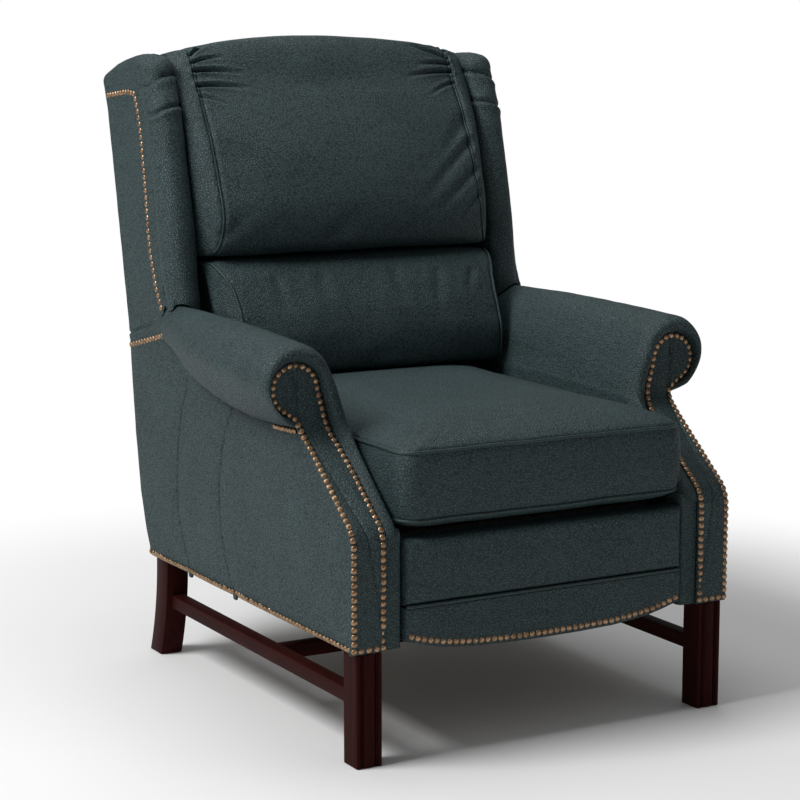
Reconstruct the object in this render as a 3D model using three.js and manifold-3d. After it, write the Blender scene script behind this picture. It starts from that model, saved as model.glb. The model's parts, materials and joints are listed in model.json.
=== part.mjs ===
// Wingback recliner on high wooden legs. Its seat slides forward as the back leans, and its front
// panel swings out on pairs of links to become a footrest.
// Millimetres: x runs across the chair, y from the front to the back and z up from the floor.
import * as THREE from 'three';
import { mergeVertices } from 'three/addons/utils/BufferGeometryUtils.js';
import Module from 'manifold-3d';

const wasm = await Module();
wasm.setup();

// Clearances
const touchGap = 0.3;
const swingGap = 0.6;
const pivotPlay = 0.45;
const rivetHeadGap = 1.2;
const cushionSideGap = 2;
const cushionRearGap = 19;
const footrestSideGap = 2.5;
const backSideGap = 4;
const lumbarLift = 2.5;
const pillowGap = 5;
const wingSwingGap = 17;
const wingRollGap = 8;

// Legs and stretchers
const legHeight = 184;
const legWidth = 45;
const legInset = 6;
const legGroove = 4;
const rearLegWidth = 42;
const rearLegDepth = 50;
const rearLegKick = 36;
const rearLegInset = 8;
const stretcherHeight = 25;
const stretcherWidth = 25;
const stretcherRise = 93;
const stretcherInset = 10;
const crossStretcherY = 322;

// Seat cushion
const cushionWidth = 540;
const cushionFrontY = -2;
const cushionBoxing = 109;
const cushionCrown = 38;
const cushionUndercrown = 21;
const cushionCorner = 34;
const cushionDrawIn = 4;

// Footrest panel, which closes the front of the chair
const footrestTopRise = 171;
const footrestHeight = 188;
const footrestDepth = 40;
const footrestFrontY = -4;
const footrestBoard = 12;
const footrestBoardInset = 8;
const footrestPadHeight = 103;
const footrestPadEdge = 9;
const apronSetback = 3;
const apronArch = 27;
const weltRadius = 2.7;

// Arms
const armWidth = 85;
const postStep = 5;
const facingThickness = 6;
const facingWidth = 53;
const facingWaist = 6;
const kneeRise = 188;
const kneeEase = 26;
const neckRise = 328;
const neckEase = 22;
const scrollSetback = 175;
const scrollRadius = 44;
const scrollRise = 392;
const scrollOffset = 10;
const rollRearY = 696;
const rollTopRise = 467;
const rollSwell = 9;
const rollSeamRise = 82;
const rollOverhang = 73;
const rollRearOverhang = 22;
const rollNose = 10;
const armPadRise = 182;
const armPadRecess = 26;
const armRearTopRise = 391;
const armRearSlope = 41;

// Back
const backRise = 943;
const backBottomY = 784;
const backRake = 190;
const outsideBackRise = 14;
const outsideBackTopRise = 878;
const outsideBackThickness = 12;
const backPostWidth = 25;
const backPostDepth = 45;
const backPostRise = 51;
const backPostTopRise = 850;
const backRailHeight = 40;
const insideBackRise = 166;
const insideBackFrontY = 705;
const insideBackLean = 148;
const insideBackStraightRise = 290;
const insideBackTopRise = 886;
const insideBackShoulder = 24;
const insideBackRelief = 22;
const archRise = 30;

// Wings
const wingThickness = 54;
const wingTopRise = 913;
const wingTopFall = 36;
const wingFrontY = 650;
const wingFrontLean = 134;
const wingStepY = 703;
const wingRound = 20;

// Pillows
const pillowBottomRise = 557;
const pillowFrontY = 644;
const pillowLean = 150;
const pillowCrown = 23;
const pillowGusset = 42;
const pillowSeamInset = 36;
const lumbarFrontY = 566;
const lumbarLean = 96;
const lumbarCrown = 12;
const lumbarSeamInset = 6;
const lumbarGusset = 10;

// Wooden rails under the seat
const railInset = 9;
const railThickness = 20;
const railHeight = 100;
const railRise = 16;
const railRearY = 680;
const rearRailY = 630;
const rearRailThickness = 22;
const rearRailHeight = 60;

// Seat carriage
const plateThickness = 4;
const seatPlateHeight = 62;
const seatPlateFrontY = 62;
const seatPlateRearY = 640;
const seatPlateChamfer = 20;
const seatRailThickness = 24;
const seatRailHeight = 36;
const seatRailSetback = 4;
const deckRise = 7;
const deckThickness = 3;
const springWire = 4;
const springReach = 24;
const springPitch = 58;

// Slide between the seat and the base
const basePlateThickness = 3;
const basePlateHeight = 67;
const basePlateDrop = 10;
const basePlateFrontY = 48;
const basePlateTail = 15;
const seatTravel = 35;
const slideStud = 5;
const frontStudY = 100;
const frontStudDrop = 22;
const rearStudY = 560;
const rearStudDrop = 46;

// Back hinge
const backHingeY = 700;
const backHingeRise = 146;
const backHingePin = 6;
const backHingeEye = 16;
const backBracketRise = 75;
const backBracketHeight = 170;
const backBracketInset = 5;

// Footrest linkage
const crankReach = 145;
const crankDrop = 101;
const pivotReach = 46;
const pivotDrop = 29;
const carrierReach = 254;
const carrierRise = 101;
const tailReach = 19.2;
const tailDrop = 35.1;
const eyeReach = 11.5;
const eyeDrop = 47;
const eyeSetback = 14;
const eyeTopDrop = 20;
const linkHalfWidth = 8;
const linkEye = 10;
const linkPin = 4.5;
const wideEye = 13.5;
const wideEyePlay = 2.5;
const wideEyeShift = 1.8;
const rivetHead = 8;
const rivetHeadThickness = 2.2;
const driveTube = 22;
const driveTubeWall = 2.5;
const driveStubLength = 14;
const driveHub = 13;
const bracketFlange = 26;
const bracketFlangeThickness = 3;

// Counts
const springCount = 4;
const pinSides = 12;
const arcSteps = 6;
const crownSteps = 5;
const springSides = 5;
const rollSteps = 20;

// Shapes, as shares of the sizes that they follow
const legFaceShares = [[0, 0.8], [0.04, 0.15], [0.1, 0], [0.15, 0.12], [0.17, 0.7], [0.19, 0.7],
  [0.21, 0.2], [0.24, 1], [0.27, 1], [0.3, 0.35], [0.4, 0.1], [0.5, 0]];
const apronShares = [[0, 0], [0.25, 0.02], [0.48, 0.09], [0.76, 0.41], [0.94, 0.85], [1, 1]];
const rearEdgeShares = [[0, 0], [0.046, 0.116], [0.122, 0.242], [0.238, 0.342], [0.345, 0.405],
  [0.405, 0.43], [0.492, 0.505], [0.607, 0.626], [0.742, 0.768], [0.859, 0.89], [1, 1.16]];
const rollSeamShares = [[0, 0.02], [0.1, -0.015], [0.24, -0.03], [0.39, 0.015], [0.54, 0.106],
  [0.69, 0.265], [0.81, 0.46], [0.93, 0.8], [1, 1]];
const rollSectionShares = [[0, 0], [0.05, 0.28], [0.2, 0.52], [0.33, 0.76], [0.55, 0.94], [0.93, 1],
  [1.35, 0.96], [1.8, 0.78], [2, 0.54], [1.85, 0.27], [1.45, 0.08], [1, 0]];
const wingFrontShares = [[0, 0], [0.166, 0.08], [0.4, 0.23], [0.577, 0.395], [0.814, 0.567], [0.9, 0.73],
  [0.965, 0.87], [1, 1]];
const pillowFrontShares = [[0, 0.3], [0.03, 0.13], [0.12, 0], [0.24, 0.03], [0.36, 0.14], [0.48, 0.26],
  [0.6, 0.41], [0.71, 0.58], [0.82, 0.76], [0.92, 0.9], [0.98, 1], [1, 1.15]];
const pillowBackShares = [0.97, 0.7, 0.35, 0];
const lumbarFrontShares = [[0, 0.45], [0.03, 0.16], [0.1, 0.03], [0.21, 0], [0.35, 0.03], [0.5, 0.14],
  [0.65, 0.26], [0.78, 0.43], [0.9, 0.68], [0.97, 0.9], [1, 1.15]];
const lumbarBackShares = [1, 0.5, 0];
const gussetShares = [[0, 0.3], [0.12, 0.95], [0.25, 1], [0.5, 0.7], [0.75, 0.35], [1, 0.15]];
const pillowWidthShares = [-1, -0.94, -0.86, -0.6, -0.3, 0, 0.3, 0.6, 0.86, 0.94, 1];
const wingRoundShares = [[0, 1], [0.16, 0.35], [0.4, 0], [0.7, 0], [0.9, 0.25], [1, 0.7]];
const cushionReachShare = 0.8;
const springEndShare = 0.2;

// Places that follow from the sizes above
const frameBottomZ = legHeight + touchGap;
const footrestTopZ = legHeight + footrestTopRise;
const footrestBackY = footrestFrontY + footrestDepth;
const deckTopZ = footrestTopZ + deckRise;
const cushionBottomZ = deckTopZ + touchGap;
const cushionDepth = insideBackFrontY - cushionRearGap - cushionFrontY;
const cushionTopZ = cushionBottomZ + cushionUndercrown + cushionBoxing + cushionCrown;
const springTopZ = deckTopZ - deckThickness - touchGap;
const seatPlateTopZ = springTopZ - springWire - touchGap;
const armInnerX = cushionWidth / 2 + cushionSideGap;
const armOuterX = armInnerX + armWidth;
const postInnerX = armInnerX - postStep;
const footrestHalf = postInnerX - footrestSideGap;
const railInnerX = armInnerX - railInset;
const railOuterX = railInnerX + railThickness;
const basePlateX = railInnerX - touchGap - basePlateThickness;
const headX = basePlateX - rivetHeadGap - rivetHeadThickness;
const outerLinkX = headX - swingGap - plateThickness;
const middleLinkX = outerLinkX - swingGap - plateThickness;
const innerLinkX = middleLinkX - swingGap - plateThickness;
const seatPlateX = innerLinkX - swingGap - plateThickness;
const carriageHalf = seatPlateX - touchGap;
const springSpacing = (carriageHalf * 2) / (springCount + springEndShare * 2);
const backHalf = armInnerX - backSideGap;
const wingInnerX = armOuterX - wingThickness;
const pillowHalf = wingInnerX - touchGap * 2;
const postOuterX = outerLinkX - touchGap;
const neckZ = frameBottomZ + neckRise;
const scrollZ = frameBottomZ + scrollRise;
const scrollX = armOuterX + scrollOffset;
const rollTopZ = frameBottomZ + rollTopRise;
const armRearTopZ = frameBottomZ + armRearTopRise;
const wingRearBottomZ = armRearTopZ + wingSwingGap;
const wingTopZ = frameBottomZ + wingTopRise;
const hinge = [backHingeY, legHeight + backHingeRise];

// Pivots of the linkage, from the upper eye of the footrest bracket back to the seat plate
const upperEye = [footrestBackY + eyeSetback, footrestTopZ - eyeTopDrop];
const lowerEye = [upperEye[0] + eyeReach, upperEye[1] - eyeDrop];
const crossPivot = [upperEye[0] + carrierReach, upperEye[1] - carrierRise];
const kneePivot = [crossPivot[0] + pivotReach, crossPivot[1] - pivotDrop];
const tailPivot = [crossPivot[0] + tailReach, crossPivot[1] - tailDrop];
const frontPivot = [crossPivot[0] - crankReach, crossPivot[1] + crankDrop];
const rearPivot = [frontPivot[0] + pivotReach, frontPivot[1] - pivotDrop];

// Studs of the seat plate, which run in slots of the base plate
const studs = [[frontStudY, deckTopZ - frontStudDrop], [rearStudY, deckTopZ - rearStudDrop]];

const mahogany = new THREE.MeshStandardMaterial({ color: 0x3a1c18, roughness: 0.35, metalness: 0 });
const leather = new THREE.MeshStandardMaterial({ color: 0x34464a, roughness: 0.6, metalness: 0 });
const frameWood = new THREE.MeshStandardMaterial({ color: 0xb9955f, roughness: 0.7, metalness: 0 });
const steel = new THREE.MeshStandardMaterial({ color: 0x2b2d2f, roughness: 0.45, metalness: 0.8 });
const springSteel = new THREE.MeshStandardMaterial({ color: 0x6c7073, roughness: 0.35, metalness: 0.9 });
const decking = new THREE.MeshStandardMaterial({ color: 0x1c1d1e, roughness: 0.9, metalness: 0 });

const chair = new THREE.Group();

// Adds a named piece
function place(name, geometry, material) {
  if (!geometry.getAttribute('normal')) geometry.computeVertexNormals();
  const mesh = new THREE.Mesh(geometry, material);
  mesh.name = name;
  chair.add(mesh);
}

// Adds a piece on the right and its mirror image on the left
function placePair(name, geometry, material) {
  place(`${name}_right`, geometry, material);
  const twin = geometry.index ? geometry.toNonIndexed() : geometry.clone();
  twin.scale(-1, 1, 1);
  const points = twin.getAttribute('position');
  const kept = new THREE.Vector3();
  for (let i = 0; i < points.count; i += 3) {
    kept.fromBufferAttribute(points, i + 1);
    points.setXYZ(i + 1, points.getX(i + 2), points.getY(i + 2), points.getZ(i + 2));
    points.setXYZ(i + 2, kept.x, kept.y, kept.z);
  }
  twin.deleteAttribute('normal');
  place(`${name}_left`, twin, material);
}

function mix(from, to, share) {
  return from + (to - from) * share;
}

// Reads a table of [place, value] pairs, by straight lines between them
function along(table, at) {
  const last = table.length - 1;
  if (at <= table[0][0]) return table[0][1];
  if (at >= table[last][0]) return table[last][1];
  const next = table.findIndex(([spot]) => spot >= at);
  const [x0, v0] = table[next - 1];
  const [x1, v1] = table[next];
  return mix(v0, v1, (at - x0) / (x1 - x0));
}

// Joins and cuts
function toSolid(geometry) {
  const bare = geometry.clone();
  bare.deleteAttribute('normal');
  bare.deleteAttribute('uv');
  const merged = mergeVertices(bare);
  return new wasm.Manifold(new wasm.Mesh({
    numProp: 3,
    vertProperties: new Float32Array(merged.getAttribute('position').array),
    triVerts: new Uint32Array(merged.index.array),
  }));
}

function toGeometry(solid) {
  const mesh = solid.getMesh();
  const geometry = new THREE.BufferGeometry();
  geometry.setAttribute('position', new THREE.BufferAttribute(mesh.vertProperties, 3));
  geometry.setIndex(new THREE.BufferAttribute(mesh.triVerts, 1));
  return geometry;
}

function join(...geometries) {
  return toGeometry(geometries.map(toSolid).reduce((whole, piece) => whole.add(piece)));
}

// Closes one end of a skinned body: the ring's own plane is found first
function capFaces(ring, start) {
  const normal = new THREE.Vector3();
  ring.forEach((point, i) => {
    normal.add(new THREE.Vector3().crossVectors(point, ring[(i + 1) % ring.length]));
  });
  normal.normalize();
  const across = new THREE.Vector3().subVectors(ring[1], ring[0]);
  across.addScaledVector(normal, -across.dot(normal)).normalize();
  const upward = new THREE.Vector3().crossVectors(normal, across);
  const flat = ring.map((point) => new THREE.Vector2(point.dot(across), point.dot(upward)));
  return THREE.ShapeUtils.triangulateShape(flat, []).map((face) => face.map((corner) => corner + start));
}

// Skins a stack of rings, each with as many points, and closes both ends
function loft(rings) {
  const count = rings[0].length;
  const faces = [];
  for (let r = 0; r < rings.length - 1; r += 1) {
    for (let i = 0; i < count; i += 1) {
      const a = r * count + i;
      const b = r * count + ((i + 1) % count);
      faces.push([a, b, b + count], [a, b + count, a + count]);
    }
  }
  capFaces(rings[0], 0).forEach(([a, b, c]) => faces.push([a, c, b]));
  faces.push(...capFaces(rings[rings.length - 1], (rings.length - 1) * count));
  const points = rings.flat();
  const volume = faces.reduce((sum, [a, b, c]) => (
    sum + points[a].dot(new THREE.Vector3().crossVectors(points[b], points[c]))), 0);
  const geometry = new THREE.BufferGeometry().setFromPoints(points);
  geometry.setIndex(volume > 0 ? faces.flat() : faces.flat().reverse());
  return geometry;
}

// A profile drawn in (y, z), extruded from x0 to x1
function sideExtrude(shape, x0, x1) {
  const body = new THREE.ExtrudeGeometry(shape, { depth: x1 - x0, bevelEnabled: false });
  const turn = new THREE.Matrix4().makeBasis(
    new THREE.Vector3(0, 1, 0), new THREE.Vector3(0, 0, 1), new THREE.Vector3(1, 0, 0));
  return body.applyMatrix4(turn).translate(x0, 0, 0);
}

// A profile drawn in (x, z), extruded from y0 to y1
function frontExtrude(shape, y0, y1) {
  const body = new THREE.ExtrudeGeometry(shape, { depth: y1 - y0, bevelEnabled: false });
  return body.rotateX(Math.PI / 2).translate(0, y1, 0);
}

function block(x0, x1, y0, y1, z0, z1) {
  const box = new THREE.BoxGeometry(x1 - x0, y1 - y0, z1 - z0);
  return box.translate((x0 + x1) / 2, (y0 + y1) / 2, (z0 + z1) / 2);
}

// A round pin along x
function pin(radius, x0, x1, [y, z]) {
  const rod = new THREE.CylinderGeometry(radius, radius, x1 - x0, pinSides);
  return rod.rotateZ(Math.PI / 2).translate((x0 + x1) / 2, y, z);
}

function outline(points) {
  return new THREE.Shape(points.map(([a, b]) => new THREE.Vector2(a, b)));
}

// Points of an arc round (u, v), from one angle to another
function arcPoints([u, v], radius, from, to, steps) {
  return Array.from({ length: steps + 1 }, (_, i) => {
    const angle = mix(from, to, i / steps);
    return [u + radius * Math.cos(angle), v + radius * Math.sin(angle)];
  });
}

// A rectangle with round corners, centred on (0, 0)
function roundedRing(halfU, halfV, radius) {
  const quarters = [[1, 1], [-1, 1], [-1, -1], [1, -1]];
  return quarters.flatMap(([u, v], quarter) => arcPoints(
    [u * (halfU - radius), v * (halfV - radius)],
    radius, (quarter * Math.PI) / 2, ((quarter + 1) * Math.PI) / 2, arcSteps - 1));
}

// How far back the chair reaches at height z
function rearEdgeY(z) {
  return backBottomY + backRake * along(rearEdgeShares, (z - frameBottomZ) / backRise);
}

// Heights from z0 to z1 at which the rear edge bends, with any others that are asked for
function levelsBetween(z0, z1, others = []) {
  const bends = rearEdgeShares.map(([share]) => frameBottomZ + backRise * share);
  const inside = [...bends, ...others].filter((z) => z > z0 + touchGap && z < z1 - touchGap);
  const sorted = inside.sort((a, b) => a - b);
  return [z0, ...sorted.filter((z, i) => i === 0 || z - sorted[i - 1] > touchGap), z1];
}

// Side view of the arm's front, from the bottom up: upright, sloped above the knee, upright again
function armFrontPoints() {
  const knee = new THREE.Vector2(0, frameBottomZ + kneeRise);
  const neck = new THREE.Vector2(scrollSetback, neckZ);
  const slope = new THREE.Vector2().subVectors(neck, knee).normalize();
  const kneeStart = new THREE.Vector2(0, knee.y - kneeEase);
  const neckEnd = new THREE.Vector2(scrollSetback, neckZ + neckEase);
  const kneeCurve = new THREE.QuadraticBezierCurve(kneeStart, knee, knee.clone().addScaledVector(slope, kneeEase));
  const neckCurve = new THREE.QuadraticBezierCurve(neck.clone().addScaledVector(slope, -neckEase), neck, neckEnd);
  return [
    new THREE.Vector2(0, frameBottomZ),
    ...kneeCurve.getPoints(arcSteps),
    ...neckCurve.getPoints(arcSteps),
  ].map((point) => [point.x, point.y]);
}

const armFront = armFrontPoints();

function armFrontY(z) {
  return along(armFront.map(([y, height]) => [height, y]), z);
}

// The arm's top: the seam under the roll, then a slope down to the rear edge
const seamStart = scrollSetback + facingThickness + touchGap;
const seamYs = rollSeamShares.map(([share]) => mix(seamStart, rollRearY, share));

function rollSeamZ(y) {
  return neckZ + touchGap + rollSeamRise * along(rollSeamShares, (y - seamStart) / (rollRearY - seamStart));
}

// Side view of an arm panel above a straight lower edge
function armPanel(frontEdge, bottomZ) {
  const seam = seamYs.map((y) => [y, rollSeamZ(y) - touchGap]);
  const rear = levelsBetween(bottomZ, armRearTopZ).reverse().map((z) => [rearEdgeY(z), z]);
  return outline([...frontEdge, ...seam, [rollRearY + touchGap, rollSeamZ(rollRearY)],
    [rollRearY + touchGap, armRearTopZ + armRearSlope], ...rear]);
}

function buildLegs() {
  const half = legFaceShares.map(([across, depth]) => [across * legWidth, depth * legGroove]);
  const otherHalf = half.slice(0, -1).reverse().map(([x, y]) => [legWidth - x, y]);
  const section = outline([...half, ...otherHalf, [legWidth, legWidth], [0, legWidth]]);
  const frontLeg = new THREE.ExtrudeGeometry(section, { depth: legHeight, bevelEnabled: false });
  const outer = armOuterX - legInset;
  placePair('front_leg', frontLeg.translate(outer - legWidth, 0, 0), mahogany);

  const heights = Array.from({ length: arcSteps + 1 }, (_, i) => (legHeight * i) / arcSteps);
  const front = heights.map((z) => [rearLegFrontY(z), z]);
  const rear = heights.map((z) => [rearLegFrontY(z) + rearLegDepth, z]).reverse();
  placePair('rear_leg', sideExtrude(outline([...front, ...rear]), outer - rearLegWidth, outer), mahogany);
}

// The rear leg kicks back towards the floor
function rearLegFrontY(z) {
  const top = backBottomY - rearLegInset - rearLegDepth;
  return top + rearLegKick * (1 - z / legHeight) ** 2;
}

function buildStretchers() {
  const outer = armOuterX - legInset - stretcherInset;
  const inner = outer - stretcherWidth;
  const top = stretcherRise + stretcherHeight;
  const rear = rearLegFrontY(top) - touchGap;
  placePair('side_stretcher', block(inner, outer, legWidth + touchGap, rear, stretcherRise, top), mahogany);
  const reach = inner - touchGap;
  const crossRear = crossStretcherY + stretcherWidth;
  place('cross_stretcher', block(-reach, reach, crossStretcherY, crossRear, stretcherRise, top), mahogany);
}

function buildRails() {
  const bottom = frameBottomZ + railRise;
  const front = legWidth + touchGap * 2;
  placePair('side_rail',
    block(railInnerX, railOuterX, front, railRearY, bottom, bottom + railHeight), frameWood);
  const reach = railInnerX - touchGap;
  place('rear_rail',
    block(-reach, reach, rearRailY, rearRailY + rearRailThickness, bottom, bottom + rearRailHeight), frameWood);
}

function buildArms() {
  const behindFacing = facingThickness + touchGap;
  const padBottom = frameBottomZ + armPadRise;
  placePair('front_post',
    block(postInnerX, railOuterX, behindFacing, legWidth + touchGap, frameBottomZ, padBottom - touchGap),
    leather);

  const outerFront = armFront.filter(([, z]) => z < neckZ).map(([y, z]) => [y + behindFacing, z]);
  placePair('outside_arm',
    sideExtrude(armPanel(outerFront, frameBottomZ), railOuterX + touchGap, armOuterX), leather);

  // The pad beside the cushion lies behind the front edge of the arm
  const innerFront = armFront
    .map(([y, z]) => [y + armPadRecess, z])
    .filter(([, z]) => z > padBottom && z < neckZ);
  placePair('inside_arm',
    sideExtrude(armPanel([[behindFacing, padBottom], ...innerFront], padBottom), armInnerX, railOuterX), leather);
  placePair('arm_roll', buildRoll(), leather);
  placePair('arm_facing', buildFacing(), leather);
}

// The rolled top of the arm, which narrows and rises towards the back
function buildRoll() {
  const section = new THREE.SplineCurve(rollSectionShares.map(([across, up]) => new THREE.Vector2(across, up)));
  const unit = section.getPoints(rollSteps);
  const ring = (y, inset) => {
    const share = (y - seamStart) / (rollRearY - seamStart);
    const low = rollSeamZ(y);
    const high = rollTopZ + rollSwell * Math.sin(share * Math.PI * 0.75) - inset;
    const overhang = mix(rollOverhang, rollRearOverhang, share ** 1.5) - inset;
    return unit.map(({ x: across, y: up }) => {
      const inner = armInnerX + inset + (armWidth - inset) * Math.min(Math.max(across, 0), 1);
      return new THREE.Vector3(inner + overhang * Math.max(across - 1, 0), y, low + (high - low) * Math.max(up, 0));
    });
  };
  const [first, second, ...middle] = seamYs;
  const last = middle.pop();
  return loft([
    ring(first, rollNose / 2),
    ring(mix(first, second, 0.2), 0),
    ring(second, 0),
    ...middle.map((y) => ring(y, 0)),
    ring(last, rollNose),
  ]);
}

// The facing: a shaped panel down the front of the arm, which ends in the scroll
function buildFacing() {
  const waistZ = neckZ + neckEase;
  const circle = (z) => scrollRadius * Math.sqrt(Math.max(0, 1 - ((z - scrollZ) / scrollRadius) ** 2));
  const lower = [[waistZ - scrollRadius * 2, 0], [waistZ, 1]];
  const innerEdge = (z) => {
    if (z > scrollZ) return scrollX - circle(z);
    return along([[waistZ - scrollRadius, armOuterX - facingWidth], [scrollZ, scrollX - scrollRadius]], z);
  };
  const outerEdge = (z) => Math.max(armOuterX + facingWaist * along(lower, z),
    z > waistZ ? scrollX + circle(z) : 0);
  const below = armFront.map(([, z]) => z).filter((z) => z < waistZ);
  const rise = Array.from({ length: arcSteps * 2 }, (_, i) => (
    scrollZ - scrollRadius * Math.cos(Math.acos((scrollZ - waistZ) / scrollRadius)
      + ((i + 0.5) / (arcSteps * 2 + 0.5)) * (Math.PI - Math.acos((scrollZ - waistZ) / scrollRadius)))));
  return loft([...below, waistZ, ...rise].map((z) => {
    const y = armFrontY(z);
    const [a, b] = [innerEdge(z), outerEdge(z)];
    return [[a, y], [b, y], [b, y + facingThickness], [a, y + facingThickness]]
      .map(([x, depth]) => new THREE.Vector3(x, depth, z));
  }));
}

function buildFootrest() {
  const padBack = footrestBackY - footrestBoard - touchGap;
  const padBottom = footrestTopZ - footrestPadHeight;
  const weltZ = padBottom - touchGap - weltRadius;
  const apronTop = weltZ - weltRadius - touchGap;
  const apronFront = footrestFrontY + apronSetback;
  const apronBottom = footrestTopZ - footrestHeight;
  const boardHalf = footrestHalf - footrestBoardInset;
  place('footrest_board',
    block(-boardHalf, boardHalf, padBack + touchGap, footrestBackY,
      apronBottom + apronArch, footrestTopZ - footrestBoardInset),
    frameWood);

  // The upper pad is round at the front, like a quarter circle at each edge
  const middleZ = footrestTopZ - footrestPadHeight / 2;
  const padRing = (y, inset) => roundedRing(footrestHalf - inset, footrestPadHeight / 2 - inset, footrestPadEdge)
    .map(([x, z]) => new THREE.Vector3(x, y, middleZ + z));
  const edges = Array.from({ length: arcSteps / 2 + 1 }, (_, i) => {
    const angle = (i / arcSteps) * Math.PI;
    return padRing(footrestFrontY + footrestPadEdge * (1 - Math.sin(angle)), footrestPadEdge * (1 - Math.cos(angle)));
  });
  place('footrest_pad', loft([padRing(padBack, 0), ...edges]), leather);

  place('footrest_welt', pin(weltRadius, -footrestHalf, footrestHalf, [apronFront + weltRadius, weltZ]), leather);

  const right = apronShares.map(([x, z]) => [x * footrestHalf, apronBottom + z * apronArch]);
  const left = right.slice(1).reverse().map(([x, z]) => [-x, z]);
  const apron = outline([...left, ...right, [footrestHalf, apronTop], [-footrestHalf, apronTop]]);
  place('footrest_apron', frontExtrude(apron, apronFront, padBack), leather);
}

// A flat bar through a run of points, with a round eye at each end
function strap(points, startEye, endEye) {
  const joints = points.map(([y, z]) => new THREE.Vector2(y, z));
  const last = joints.length - 1;
  const heading = (i) => new THREE.Vector2().subVectors(joints[i + 1], joints[i]).angle();
  const eye = (joint, angle, radius) => {
    const open = Math.PI - Math.asin(linkHalfWidth / radius);
    return arcPoints([joint.x, joint.y], radius, angle - open, angle + open, arcSteps + 2);
  };
  const bend = (i, side) => {
    const middle = (heading(i - 1) + heading(i)) / 2 + (side * Math.PI) / 2;
    const reach = linkHalfWidth / Math.cos((heading(i) - heading(i - 1)) / 2);
    return [joints[i].x + reach * Math.cos(middle), joints[i].y + reach * Math.sin(middle)];
  };
  const between = joints.slice(1, last).map((_, i) => i + 1);
  return outline([
    ...between.map((i) => bend(i, -1)),
    ...eye(joints[last], heading(last - 1), endEye),
    ...between.slice().reverse().map((i) => bend(i, 1)),
    ...eye(joints[0], heading(0) + Math.PI, startEye),
  ]);
}

// A hole whose flats clear the pin
function bore(shape, center, pinRadius, play) {
  const radius = (pinRadius + play) / Math.cos(Math.PI / pinSides);
  const ring = arcPoints(center, radius, 0, Math.PI * 2, pinSides).slice(1);
  shape.holes.push(outline(ring));
}

// A slot along y, for a pin that travels forward
function slot(shape, [y, z], pinRadius, travel) {
  const radius = (pinRadius + pivotPlay) / Math.cos(Math.PI / pinSides);
  shape.holes.push(outline([
    ...arcPoints([y, z], radius, -Math.PI / 2, Math.PI / 2, arcSteps),
    ...arcPoints([y - travel, z], radius, Math.PI / 2, (Math.PI * 3) / 2, arcSteps),
  ]));
}

// A riveted pin from x0 to a head that starts at x1
function rivet(x0, x1, center) {
  return [pin(linkPin, x0, x1 + rivetHeadThickness / 2, center),
    pin(rivetHead, x1, x1 + rivetHeadThickness, center)];
}

function buildDrive() {
  const stub = driveTube / 2 - driveTubeWall - touchGap;
  const middle = innerLinkX + plateThickness / 2;
  const rearLink = strap([rearPivot, kneePivot], driveHub, linkEye);
  placePair('rear_link', join(
    sideExtrude(rearLink, innerLinkX, innerLinkX + plateThickness),
    pin(stub, carriageHalf - driveStubLength, middle, rearPivot),
    ...rivet(middle, headX, kneePivot),
  ), steel);

  const square = (half) => outline([[-half, -half], [half, -half], [half, half], [-half, half]]
    .map(([y, z]) => [rearPivot[0] + y, rearPivot[1] + z]));
  const tube = square(driveTube / 2);
  tube.holes.push(square(driveTube / 2 - driveTubeWall));
  place('drive_tube', sideExtrude(tube, -carriageHalf, carriageHalf), steel);
}

function buildLinks() {
  const middle = middleLinkX + plateThickness / 2;
  const frontLink = strap([frontPivot, crossPivot, tailPivot], linkEye, linkEye);
  bore(frontLink, frontPivot, linkPin, pivotPlay);
  placePair('front_link', join(
    sideExtrude(frontLink, middleLinkX, middleLinkX + plateThickness),
    ...rivet(middle, headX, crossPivot),
    ...rivet(middle, headX, tailPivot),
  ), steel);

  const carrier = strap([kneePivot, crossPivot, upperEye], linkEye, linkEye);
  [kneePivot, crossPivot, upperEye].forEach((pivot) => bore(carrier, pivot, linkPin, pivotPlay));
  placePair('carrier_link', sideExtrude(carrier, outerLinkX, outerLinkX + plateThickness), steel);

  // The front eye of the control link is wide, so that the footrest finds its own angle
  const wideCenter = [lowerEye[0], lowerEye[1] + wideEyeShift];
  const control = strap([tailPivot, wideCenter], linkHalfWidth + touchGap, wideEye);
  bore(control, tailPivot, linkPin, pivotPlay);
  bore(control, wideCenter, linkPin, wideEyePlay);
  placePair('control_link', sideExtrude(control, outerLinkX, outerLinkX + plateThickness), steel);
}

// The footrest bracket: a flange behind the board and an ear with two riveted pins
function buildFootrestBracket() {
  const middle = middleLinkX + plateThickness / 2;
  const back = footrestBackY + touchGap;
  const ear = outline([
    [back, lowerEye[1] - linkEye * 2],
    ...arcPoints(lowerEye, linkEye, -Math.PI / 2, 0, arcSteps / 2),
    ...arcPoints(upperEye, linkEye, 0, Math.PI / 2, arcSteps / 2),
    [back, upperEye[1] + linkEye],
  ]);
  placePair('footrest_bracket', join(
    sideExtrude(ear, middleLinkX, middleLinkX + plateThickness),
    block(middleLinkX - bracketFlange, middle, back, back + bracketFlangeThickness,
      lowerEye[1] - linkEye * 2, upperEye[1] + linkEye),
    ...rivet(middle, headX, upperEye),
    ...rivet(middle, headX, lowerEye),
  ), steel);
}

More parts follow.
